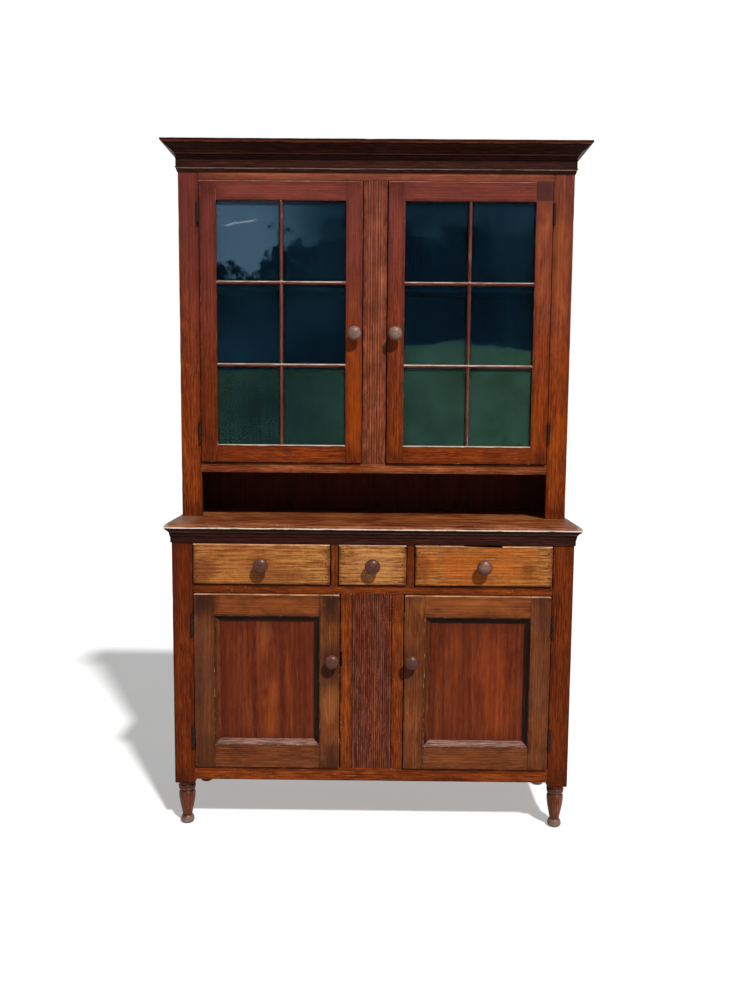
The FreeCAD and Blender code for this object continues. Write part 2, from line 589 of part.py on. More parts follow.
def drawer(name, x0, x1):
    """Front dovetailed to the sides, back, bottom in grooves, and a knob."""
    face = LOWER_FACE - DRAWER_PROUD
    z0 = DRAWER_OPENING_Z + GAP
    z1 = z0 + DRAWER_FRONT_HEIGHT
    front_back = face + DRAWER_FRONT_THICK
    front = rounded_front(x0, x1, face, front_back, z0, z1, DRAWER_EDGE_RADIUS)
    box_x0, box_x1 = x0 + DRAWER_SIDE_SET, x1 - DRAWER_SIDE_SET
    box_z0, box_z1 = DRAWER_OPENING_Z + RUNNING_GAP, DRAWER_OPENING_TOP - DRAWER_HEADROOM
    box_back = BACK_FRONT - RUNNING_GAP
    groove = DRAWER_GROOVE
    bottom_z = box_z0 + DRAWER_BOTTOM_RAISE

    tail_length = DRAWER_FRONT_THICK - DOVETAIL_LAP
    back_front = box_back - DRAWER_BACK_THICK
    tail_z0, tail_z1 = max(z0, box_z0), min(z1, box_z1)
    back_z0 = bottom_z + DRAWER_BOTTOM_THICK
    back = board(box_x0, box_x1, back_front, box_back, back_z0, box_z1)
    bottom = board(box_x0 + DRAWER_SIDE_THICK - groove, box_x1 - DRAWER_SIDE_THICK + groove,
                   front_back - groove, box_back, bottom_z, bottom_z + DRAWER_BOTTOM_THICK)
    front = front.cut(bottom)
    sides = []
    for low, high in ((box_x0, box_x0 + DRAWER_SIDE_THICK), (box_x1 - DRAWER_SIDE_THICK, box_x1)):
        front_tails = dovetails(low, high, front_back, -tail_length, tail_z0, tail_z1)
        back_tails = dovetails(low, high, back_front, DRAWER_BACK_THICK, back_z0, box_z1)
        side = board(low, high, front_back, back_front, box_z0, box_z1)
        heel = board(low, high, back_front, box_back, box_z0, back_z0)
        side = side.fuse(front_tails + back_tails + [heel]).cut(bottom).removeSplitter()
        front = front.cut(front_tails)
        back = back.cut(back_tails)
        sides.append(side)
    keep(name + "_front", front)
    keep(name + "_box", *(sides + [back, bottom]))
    keep(name + "_knob", turned_knob((x0 + x1) / 2.0, face, (z0 + z1) / 2.0, DRAWER_KNOB_RADIUS))


# ---------------------------------------------------------------- lower case
def lower_case(case_wood):
    post_x = HALF - POST_WIDTH / 2.0
    front_y, rear_y = LOWER_FACE + POST_DEPTH / 2.0, CASE_BACK - POST_DEPTH / 2.0
    side_y0, side_y1 = LOWER_FACE + POST_DEPTH, CASE_BACK - POST_DEPTH
    back_half = HALF - POST_WIDTH + BACK_REBATE
    rail_back = LOWER_FACE + FRAME_THICK

    # front rails, tenoned into the posts
    bottom_rail, tenons = tenoned_rail(-OPENING_HALF, OPENING_HALF, LOWER_FACE, rail_back,
                                       BOTTOM_RAIL_UNDERSIDE, FLOOR_TOP)
    drawer_rail, more = tenoned_rail(-OPENING_HALF, OPENING_HALF, LOWER_FACE, rail_back,
                                     DRAWER_RAIL_Z, DRAWER_OPENING_Z)
    tenons += more
    counter_rail, more = tenoned_rail(-OPENING_HALF, OPENING_HALF, LOWER_FACE, rail_back,
                                      DRAWER_OPENING_TOP, COUNTER_Z)
    tenons += more
    keep("bottom_rail", bottom_rail)
    keep("drawer_rail", drawer_rail)
    keep("counter_rail", counter_rail)

    # side frames: two rails and a panel on each side
    outer, inner = HALF, HALF - SIDE_RAIL_THICK
    top_z, low_z = COUNTER_Z - SIDE_TOP_RAIL_HEIGHT, BOTTOM_RAIL_UNDERSIDE + SIDE_BOTTOM_RAIL_HEIGHT
    panel_outer = HALF - SIDE_PANEL_RECESS
    panel = board(panel_outer - SIDE_PANEL_THICK, panel_outer, side_y0 - PANEL_GROOVE, side_y1 + PANEL_GROOVE,
                  low_z - PANEL_GROOVE, top_z + PANEL_GROOVE)
    upper_side_rail = board(inner, outer, side_y0, side_y1, top_z, COUNTER_Z).cut(panel)
    lower_side_rail = board(inner, outer, side_y0, side_y1, BOTTOM_RAIL_UNDERSIDE, low_z).cut(panel)
    keep("side_panels", mirrored(panel), panel)
    keep("side_rails", mirrored(upper_side_rail), mirrored(lower_side_rail), upper_side_rail, lower_side_rail)

    # posts, each turned at the foot from the same piece
    back_space = board(-back_half, back_half, BACK_FRONT, CASE_BACK, BOTTOM_RAIL_UNDERSIDE, COUNTER_Z)

    def post(y):
        square = board(post_x - POST_WIDTH / 2.0, post_x + POST_WIDTH / 2.0, y - POST_DEPTH / 2.0,
                       y + POST_DEPTH / 2.0, FOOT_HEIGHT, COUNTER_Z)
        bottom_edges = [edge for edge in square.Edges if abs(edge.CenterOfMass.z - FOOT_HEIGHT) < 0.01]
        square = square.makeChamfer(FOOT_CHAMFER, bottom_edges)
        return square.fuse(turned_foot(post_x, y)).removeSplitter().cut([panel, back_space])

    right_front = post(front_y)
    left_front = mirrored(right_front).cut(tenons + case_wood)
    right_front = right_front.cut(tenons + case_wood)
    rear = post(rear_y)
    keep("front_post_left", left_front)
    keep("front_post_right", right_front)
    keep("rear_posts", mirrored(rear), rear)

    # centre of the front: dividers between the drawers, stiles and reeded panel between the doors
    divider_x = MIDDLE_DRAWER_WIDTH / 2.0 + GAP
    divider = board(divider_x, divider_x + DIVIDER_WIDTH, LOWER_FACE, rail_back,
                    DRAWER_OPENING_Z, DRAWER_OPENING_TOP)
    keep("drawer_dividers", mirrored(divider), divider)
    panel_half = REEDED_PANEL_WIDTH / 2.0
    stile = board(panel_half, CENTRE_HALF, LOWER_FACE, rail_back, FLOOR_TOP, DRAWER_RAIL_Z)
    notch_z = LOWER_DOOR_Z + LOWER_KNOB_RAISE - STRIKE_NOTCH_HEIGHT / 2.0
    notch = board(-CENTRE_HALF, -CENTRE_HALF + STRIKE_NOTCH_DEPTH, LOWER_FACE, LOWER_FACE + FRAME_THICK / 2.0,
                  notch_z, notch_z + STRIKE_NOTCH_HEIGHT)
    keep("centre_stiles", mirrored(stile).cut(notch), stile)
    margin = LOWER_REED_DEPTH
    keep("reeded_panel", reeded_board(panel_half, panel_half - margin, LOWER_REEDS, LOWER_REED_DEPTH,
                                      LOWER_FACE + LOWER_REED_DEPTH, rail_back, FLOOR_TOP, DRAWER_RAIL_Z))

    # floor, shelf and back
    floor = board(-inner, inner, rail_back, BACK_FRONT, FLOOR_TOP - FLOOR_THICK, FLOOR_TOP)
    keep("lower_floor", clear_of_posts(floor))
    panel_inner = panel_outer - SIDE_PANEL_THICK
    shelf_top = FLOOR_TOP + LOWER_SHELF_RAISE
    shelf = board(-panel_inner, panel_inner, LOWER_FACE + LOWER_SHELF_SETBACK, BACK_FRONT,
                  shelf_top - SHELF_THICK, shelf_top)
    keep("lower_shelf", clear_of_posts(shelf))
    keep("lower_back_boards", *lapped_boards(-back_half, back_half, BACK_FRONT, CASE_BACK,
                                             BOTTOM_RAIL_UNDERSIDE, COUNTER_Z))

    drawer_supports(rail_back, panel_inner)
    counter()


def drawer_supports(rail_back, panel_inner):
    """Runners under the drawer sides, guides beside them and kickers above."""
    top, low = DRAWER_OPENING_Z, DRAWER_OPENING_Z - RUNNER_THICK
    middle = (MIDDLE_DRAWER_WIDTH + DIVIDER_WIDTH) / 2.0 + GAP
    half_run = DIVIDER_WIDTH / 2.0 + RUNNER_BEARING
    end_run = clear_of_posts(board(OPENING_HALF - RUNNER_BEARING, panel_inner, rail_back, BACK_FRONT, low, top))
    middle_run = board(middle - half_run, middle + half_run, rail_back, BACK_FRONT, low, top)
    half_guide = DIVIDER_WIDTH / 2.0
    middle_guide = board(middle - half_guide, middle + half_guide, rail_back, BACK_FRONT,
                         top, top + GUIDE_HEIGHT)
    end_guide = board(OPENING_HALF, panel_inner, LOWER_FACE + POST_DEPTH, CASE_BACK - POST_DEPTH,
                      top, top + GUIDE_HEIGHT)
    right_hand = [middle_run, end_run, middle_guide, end_guide]
    keep("drawer_runners", *([mirrored(strip) for strip in right_hand] + right_hand))

    kicker_z = DRAWER_OPENING_TOP
    end_kicker = board(OPENING_HALF - RUNNER_BEARING, OPENING_HALF, rail_back, BACK_FRONT,
                       kicker_z, kicker_z + KICKER_HEIGHT)
    middle_kicker = board(middle - half_guide, middle + half_guide, rail_back, BACK_FRONT,
                          kicker_z, kicker_z + KICKER_HEIGHT)
    keep("drawer_kickers", mirrored(end_kicker), mirrored(middle_kicker), middle_kicker, end_kicker)


def counter():
    half = HALF + COUNTER_OVERHANG
    top = board(-half, half, LOWER_FACE - COUNTER_OVERHANG, CASE_BACK, COUNTER_Z, COUNTER_TOP)
    rounded = min(COUNTER_EDGE_RADIUS, COUNTER_THICK / 2.0 - 0.5)
    front_y = LOWER_FACE - COUNTER_OVERHANG
    top = ease(top, rounded, lambda point, along: abs(along.z) < 0.1 and (
        abs(point.y - front_y) < 0.01 or abs(abs(point.x) - half) < 0.01))
    keep("counter_top", top)

    def section(place):
        base = COUNTER_Z - COUNTER_COVE_HEIGHT
        p_top, p_low = COUNTER_COVE_PROJECTION, COUNTER_BAND_THICK
        foot, lip = (p_low + 2.0, base), (p_top, COUNTER_Z - COUNTER_COVE_LIP)
        return outline(place, (0.0, DRAWER_OPENING_TOP), (p_low, DRAWER_OPENING_TOP), (p_low, base),
                       foot, (arc_middle(foot, lip, COUNTER_COVE_DIP), lip), (p_top, COUNTER_Z), (0.0, COUNTER_Z))

    keep("counter_moulding", *mitred_moulding(section, HALF, LOWER_FACE, CASE_BACK))


# ---------------------------------------------------------------- upper case
def upper_case(case_wood):
    rail_back = UPPER_FACE + FRAME_THICK
    inner = HALF - SIDE_THICK
    back_half = inner + BACK_REBATE
    back_space = board(-back_half, back_half, BACK_FRONT, CASE_BACK, COUNTER_TOP, CASE_TOP)
    side = board(inner, HALF, rail_back, CASE_BACK, COUNTER_TOP, CASE_TOP).cut(back_space)
    keep("upper_side_left", mirrored(side))
    keep("upper_side_right", side)

    rail, tenons = tenoned_rail(-OPENING_HALF, OPENING_HALF, UPPER_FACE, rail_back,
                                UPPER_RAIL_Z, UPPER_RAIL_TOP)
    top_rail, more = tenoned_rail(-OPENING_HALF, OPENING_HALF, UPPER_FACE, rail_back, TOP_RAIL_Z, CASE_TOP)
    stile = board(OPENING_HALF, HALF, UPPER_FACE, rail_back, COUNTER_TOP, CASE_TOP)
    keep("upper_bottom_rail", rail)
    keep("upper_top_rail", top_rail)
    taken = tenons + more + case_wood
    keep("upper_corner_stiles", mirrored(stile).cut(taken), stile.cut(taken))
    keep("reeded_stile", reeded_board(UPPER_CENTRE_HALF, UPPER_REEDED_WIDTH / 2.0, UPPER_REEDS,
                                      UPPER_REED_DEPTH, UPPER_FACE + UPPER_REED_DEPTH / 2.0, rail_back,
                                      UPPER_RAIL_TOP, TOP_RAIL_Z))

    def level(front, z_top, thick):
        return board(-inner, inner, front, BACK_FRONT, z_top - thick, z_top)

    keep("upper_floor", level(rail_back, UPPER_RAIL_TOP, FLOOR_THICK))
    pane_z0 = UPPER_DOOR_Z + UPPER_BOTTOM_RAIL
    pane_z1 = UPPER_DOOR_Z + UPPER_DOOR_HEIGHT - UPPER_TOP_RAIL
    shelves = []
    for j in range(1, PANES_HIGH):
        bar = pane_z0 + (pane_z1 - pane_z0) * j / PANES_HIGH
        shelves.append(level(UPPER_FACE + UPPER_SHELF_SETBACK, bar, SHELF_THICK))
    keep("upper_shelves", *shelves)
    keep("upper_top_board", level(rail_back, CASE_TOP, FLOOR_THICK))
    keep("upper_back_boards", *lapped_boards(-back_half, back_half, BACK_FRONT, CASE_BACK,
                                             COUNTER_TOP, CASE_TOP))
    cornice()


def cornice():
    bed_top = CORNICE_Z + CORNICE_BED_HEIGHT
    thick = CORNICE_BED_THICK

    def bed(place):
        bevel, bead = CORNICE_Z + CORNICE_BED_BEVEL, CORNICE_BED_BEAD
        return outline(place, (0.0, CORNICE_Z), (1.5, CORNICE_Z), (thick, bevel), (thick + bead, bevel + bead),
                       (thick + bead, bevel + 3.0 * bead), (thick, bevel + 4.0 * bead), (thick, bed_top),
                       (0.0, bed_top))

    def crown(place):
        """Cove springing from the bed, straight above it, with an upright lip."""
        reach, top = CORNICE_PROJECTION, OVERALL_HEIGHT
        lip = top - CORNICE_LIP
        turn = (thick + (reach - thick) * 0.42, bed_top + (lip - bed_top) * 0.56)
        return outline(place, (0.0, bed_top), (thick, bed_top),
                       (arc_middle((thick, bed_top), turn, CORNICE_COVE_DIP), turn),
                       (reach - CORNICE_LIP_SET, lip), (reach, lip + 2.0), (reach, top), (0.0, top))

    keep("cornice_bed", *mitred_moulding(bed, HALF, UPPER_FACE, CASE_BACK))
    keep("cornice_crown", *mitred_moulding(crown, HALF, UPPER_FACE, CASE_BACK))


# ---------------------------------------------------------------- the whole cupboard
def build():
    lower_wood, upper_wood, case_hinges = [], [], []
    for name, side in (("left", -1), ("right", 1)):
        hinge, wood = panelled_door("lower_" + name + "_door", side)
        case_hinges += hinge
        lower_wood += wood
        hinge, wood = glazed_door("upper_" + name + "_door", side)
        case_hinges += hinge
        upper_wood += wood
    keep("case_hinge_leaves", *case_hinges)
    lower_case(lower_wood)
    upper_case(upper_wood)
    inner = MIDDLE_DRAWER_WIDTH / 2.0
    outer = inner + DIVIDER_WIDTH + 2.0 * GAP
    end = OPENING_HALF - GAP
    drawer("left_drawer", -end, -outer)
    drawer("middle_drawer", -inner, inner)
    drawer("right_drawer", outer, end)


def write():
    os.makedirs("parts", exist_ok=True)
    for name, solids in sorted(pieces.items()):
        whole = []
        for solid in solids:
            whole += solid.Solids
        shape = whole[0] if len(whole) == 1 else Part.makeCompound(whole)
        shape.exportStep(os.path.join("parts", name + ".step"))
        print("%-28s %2d solid(s)  %10.0f mm3" % (name, len(whole), shape.Volume))


build()
write()
print(len(pieces), "nodes")
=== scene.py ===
# Step back cupboard: old woodwork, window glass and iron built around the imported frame.
# Lengths are in metres, the front faces -Y and the floor is z = 0.
import json
import math
from functools import partial

import bmesh
import bpy
import numpy as np
from mathutils import Matrix, Vector, noise


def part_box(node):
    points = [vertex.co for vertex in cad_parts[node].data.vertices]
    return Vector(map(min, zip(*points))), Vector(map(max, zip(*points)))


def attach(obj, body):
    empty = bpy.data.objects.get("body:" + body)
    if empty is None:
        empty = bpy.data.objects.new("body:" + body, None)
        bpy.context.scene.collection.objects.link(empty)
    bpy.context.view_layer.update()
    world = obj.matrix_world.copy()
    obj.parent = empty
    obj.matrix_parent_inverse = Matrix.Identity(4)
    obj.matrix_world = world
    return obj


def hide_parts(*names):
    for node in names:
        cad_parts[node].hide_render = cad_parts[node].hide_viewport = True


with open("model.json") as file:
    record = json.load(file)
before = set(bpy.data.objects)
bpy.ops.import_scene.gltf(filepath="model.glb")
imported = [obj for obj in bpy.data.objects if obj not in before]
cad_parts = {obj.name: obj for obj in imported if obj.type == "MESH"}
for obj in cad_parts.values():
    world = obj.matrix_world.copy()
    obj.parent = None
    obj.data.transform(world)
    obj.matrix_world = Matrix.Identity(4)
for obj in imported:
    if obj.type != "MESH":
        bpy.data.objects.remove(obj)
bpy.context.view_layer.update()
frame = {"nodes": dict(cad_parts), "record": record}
mm = 0.001


def solidsOf(node):
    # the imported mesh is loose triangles, one solid after another; a solid is whole when all its edges have met
    # their twins
    mesh = frame["nodes"][node].data
    solids, corners, faces, numbers, waiting = [], [], [], {}, set()
    for polygon in mesh.polygons:
        face = []
        for index in polygon.vertices:
            place = tuple(mesh.vertices[index].co)
            key = tuple(round(c, 5) for c in place)
            if key not in numbers:
                numbers[key] = len(corners)
                corners.append(place)
            face.append(numbers[key])
        faces.append(face)
        for a, b in zip(face, face[1:] + face[:1]):
            if (b, a) in waiting:
                waiting.remove((b, a))
            else:
                waiting.add((a, b))
        if not waiting:
            solids.append((corners, faces))
            corners, faces, numbers = [], [], {}
    return solids


def measure(corners):
    places = np.array(corners, float)
    low, high = places.min(0), places.max(0)
    return (low + high) / 2, (high - low) / 2


def grainOrder(half, along):
    # the axes along, across and through the grain, which follows the longest side unless along is given
    order = list(np.argsort(-half, kind="stable"))
    if along is not None:
        order.remove(along)
        order.insert(0, along)
    return order


def toChunk(corners, faces, seed, along=None, box=None):
    # one board: its mesh, and for each corner the place along, across and through the grain
    centre, half = box or measure(corners)
    order = grainOrder(half, along)
    rng = np.random.default_rng(seed)
    heart = (rng.uniform(0, 20), rng.uniform(-0.05, 0.05), rng.uniform(0.012, 0.05))   # where the pith runs
    count = len(corners)
    return {"corners": corners, "faces": faces,
            "boardPlace": (np.array(corners, float) - centre)[:, order],
            "boardHalf": np.tile(half[order], (count, 1)), "boardHeart": np.tile(heart, (count, 1))}


def cutAcross(mesh, axis, value, side=1, **more):
    # cuts a mesh along a plane that is square to an axis
    place, normal = Vector((0, 0, 0)), Vector((0, 0, 0))
    place[axis], normal[axis] = value, side
    return bmesh.ops.bisect_plane(mesh, geom=mesh.verts[:] + mesh.edges[:] + mesh.faces[:], plane_co=place,
                                  plane_no=normal, **more)


closeBy = 1e-6               # corners nearer than this are one
flatAngle, sharpAngle = math.radians(0.5), math.radians(40)


def agedBoard(solid, look, seed, along=None, cutAt=None, corner=None, shape=None):
    # eases the arrises of one board, cuts it into short lengths and rubs the arrises away unevenly;
    # cutAt (axis, value, side) keeps one side of a plane and closes it, corner rounds a door in its own plane,
    # shape is (planes to cut at, as (axis, value), and a function that gives a corner its new place)
    corners, faces = solid
    centre, half = measure(corners)
    mesh = bmesh.new()
    points = [mesh.verts.new(c) for c in corners]
    for face in faces:
        mesh.faces.new([points[i] for i in face])
    bmesh.ops.dissolve_limit(mesh, angle_limit=flatAngle, verts=mesh.verts[:], edges=mesh.edges[:])
    if cutAt:
        cut = cutAcross(mesh, *cutAt, clear_outer=True)
        bmesh.ops.holes_fill(mesh, edges=[e for e in cut["geom_cut"] if isinstance(e, bmesh.types.BMEdge)])
        centre, half = measure([tuple(v.co) for v in mesh.verts])
    bevel = partial(bmesh.ops.bevel, mesh, profile=0.5, affect="EDGES")
    if corner:
        picked = []
        for edge in mesh.edges:
            a, b = (vertex.co for vertex in edge.verts)
            middle = (a + b) / 2
            if abs((b - a).normalized().y) > 0.9 and any(
                    max(abs(middle.x - x), abs(middle.z - z)) < 0.1 * mm for x, z in corner["at"]):
                picked.append(edge)
        bevel(geom=picked, offset=corner["radius"], segments=5, clamp_overlap=True)
    ease = look["ease"]
    arrises = [edge for edge in mesh.edges if edge.is_manifold and edge.calc_length() > 5 * ease
               and edge.calc_face_angle_signed(0) > sharpAngle]
    if arrises and ease > 0:
        bevel(geom=arrises, offset=ease, segments=2, clamp_overlap=False)
    step = look.get("step")
    if step:
        rim, grain = look["reach"], grainOrder(half, along)[0]
        for axis in range(3):
            low, high = centre[axis] - half[axis], centre[axis] + half[axis]
            cuts = [low + rim, high - rim] if half[axis] > 1.5 * rim else []
            if axis == grain:
                count = max(2, round(2 * half[axis] / step))
                cuts += [low + 2 * half[axis] * i / count for i in range(1, count)]
            for value in cuts:
                cutAcross(mesh, axis, value, dist=closeBy)
        for vertex in mesh.verts:
            away = Vector(vertex.co) - Vector(centre)
            (_, first), (depth, second), _ = sorted((half[axis] - abs(away[axis]), axis) for axis in range(3))
            if depth > rim:
                continue
            run = 3 - first - second             # the axis that the arris follows
            mark = (1.7 if away[first] > 0 else 0) + (3.1 if away[second] > 0 else 0) + 5.3 * run
            t = away[run]
            wander = 0.5 + noise.noise(Vector((t * 22 + seed, mark, 0.3)))
            bite = noise.noise(Vector((t * look.get("often", 30) + seed, mark, 4.1))) \
                + 0.45 * noise.noise(Vector((t * 110 + seed, mark, 9.2)))
            bite = max(0.0, bite - look.get("from", 0.32)) / 0.5
            amount = (look["rub"] * wander + look.get("chip", 0) * min(bite, 1.0)) * (1 - depth / rim)
            for axis in (first, second):
                vertex.co[axis] -= math.copysign(amount * 0.7, away[axis])
    if shape:
        cuts, move = shape
        for axis, value in cuts:
            cutAcross(mesh, axis, value, dist=closeBy)
        for vertex in mesh.verts:
            vertex.co = move(Vector(vertex.co))
    bmesh.ops.dissolve_degenerate(mesh, dist=closeBy, edges=mesh.edges[:])
    mesh.normal_update()
    mesh.verts.index_update()
    places = [tuple(v.co) for v in mesh.verts]
    chunk = toChunk(places, [[v.index for v in f.verts] for f in mesh.faces], seed, along, (centre, half))
    mesh.free()
    return chunk


def turnedChunk(profile, centre, axis, seed, turns=56):
    # a turning: profile is (radius, height), heights run along axis ("z" up, "y" towards the back)
    corners, faces = [], []
    for radius, height in profile:
        for i in range(turns):
            angle = 2 * math.pi * i / turns
            a, b = radius * math.cos(angle), radius * math.sin(angle)
            corners.append((centre[0] + a, centre[1] + b, centre[2] + height) if axis == "z"
                           else (centre[0] + b, centre[1] + height, centre[2] + a))
    last = (len(profile) - 1) * turns
    for low in range(0, last, turns):
        for i in range(turns):
            j = (i + 1) % turns
            faces.append([low + i, low + j, low + turns + j, low + turns + i])
    faces.append(list(range(turns))[::-1])
    faces.append(list(range(last, last + turns)))
    if profile[-1][1] < profile[0][1]:           # a profile that runs back along the axis turns the faces round
        faces = [face[::-1] for face in faces]
    return toChunk(corners, faces, seed, along={"z": 2, "y": 0}[axis])


def smoothProfile(points, steps=6):
    # a smooth line through points in millimetres; a point given twice keeps its corner
    line, points = [], [(a * mm, b * mm) for a, b in points]
    for i in range(len(points) - 1):
        a, b = Vector(points[i]), Vector(points[i + 1])
        if (b - a).length < 1e-9:
            continue
        before = Vector(points[i - 1]) if i > 0 else a
        after = Vector(points[i + 2]) if i + 2 < len(points) else b
        for k in range(steps):
            t = k / steps
            line.append(tuple(0.5 * ((2 * a) + (b - before) * t + (2 * before - 5 * a + 4 * b - after) * t ** 2
                                     + (3 * a - before - 3 * b + after) * t ** 3)))
    line.append(tuple(points[-1]))
    return line


def newObject(name, data):
    made = bpy.data.objects.new(name, data)
    bpy.context.scene.collection.objects.link(made)
    return made


def makePiece(name, body, chunks, finish, replaced=(), smooth=None):
    # joins chunks into one object at the origin, on its body; finish may be a list, one for each chunk
    corners, faces = [], []
    for chunk in chunks:
        faces += [[len(corners) + i for i in face] for face in chunk["faces"]]
        corners += chunk["corners"]
    mesh = bpy.data.meshes.new(name)
    mesh.from_pydata(corners, [], faces)
    mesh.update()
    for label in ("boardPlace", "boardHalf", "boardHeart"):
        layer = mesh.attributes.new(label, "FLOAT_VECTOR", "POINT")
        layer.data.foreach_set("vector", np.concatenate([c[label] for c in chunks]).astype(np.float32).ravel())
    finishes = finish if isinstance(finish, list) else [finish] * len(chunks)
    order = list(dict.fromkeys(finishes))
    for material in order:
        mesh.materials.append(material)
    index = np.concatenate([[order.index(f)] * len(c["faces"]) for f, c in zip(finishes, chunks)])
    mesh.polygons.foreach_set("material_index", index.astype(np.int32))
    if smooth:
        mesh.shade_smooth()
        mesh.set_sharp_from_angle(angle=math.radians(smooth))
    piece = newObject(name, mesh)
    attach(piece, body)
    if replaced:
        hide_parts(*replaced)


def toLinear(hexColour):
    channels = [int(hexColour[i:i + 2], 16) / 255 for i in (1, 3, 5)]
    return tuple(c / 12.92 if c <= 0.04045 else ((c + 0.055) / 1.055) ** 2.4 for c in channels) + (1.0,)


def addNode(tree, kind, *values, stops=None, **settings):
    # adds a node; its mode may follow its kind, and values are its inputs in order, or one dictionary of them;
    # a node or socket among them is linked, and a hex colour is made linear
    kind, *mode = kind.split()
    node = tree.nodes.new(next(family + kind for family in ("ShaderNode", "GeometryNode", "FunctionNode", "Node")
                               if hasattr(bpy.types, family + kind)))
    if mode:
        settings["operation" if hasattr(node, "operation") else "interpolation_type"] = mode[0]
    for name, value in settings.items():
        setattr(node, name, value)
    for index, (at, colour) in enumerate(stops or []):
        element = node.color_ramp.elements[index] if index < 2 else node.color_ramp.elements.new(at)
        element.position, element.color = at, toLinear(colour)
    inputs = values[0] if values and isinstance(values[0], dict) else dict(enumerate(values))
    for name, value in inputs.items():
        if isinstance(value, bpy.types.Node):
            value = next(s for s in value.outputs if s.enabled)
        if isinstance(value, bpy.types.NodeSocket):
            tree.links.new(value, node.inputs[name])
        else:
            node.inputs[name].default_value = toLinear(value) if isinstance(value, str) else value
    return node


def newMaterial(name):
    material = bpy.data.materials.new(name)
    material.use_nodes = True
    material.node_tree.nodes.clear()
    return material, partial(addNode, material.node_tree)


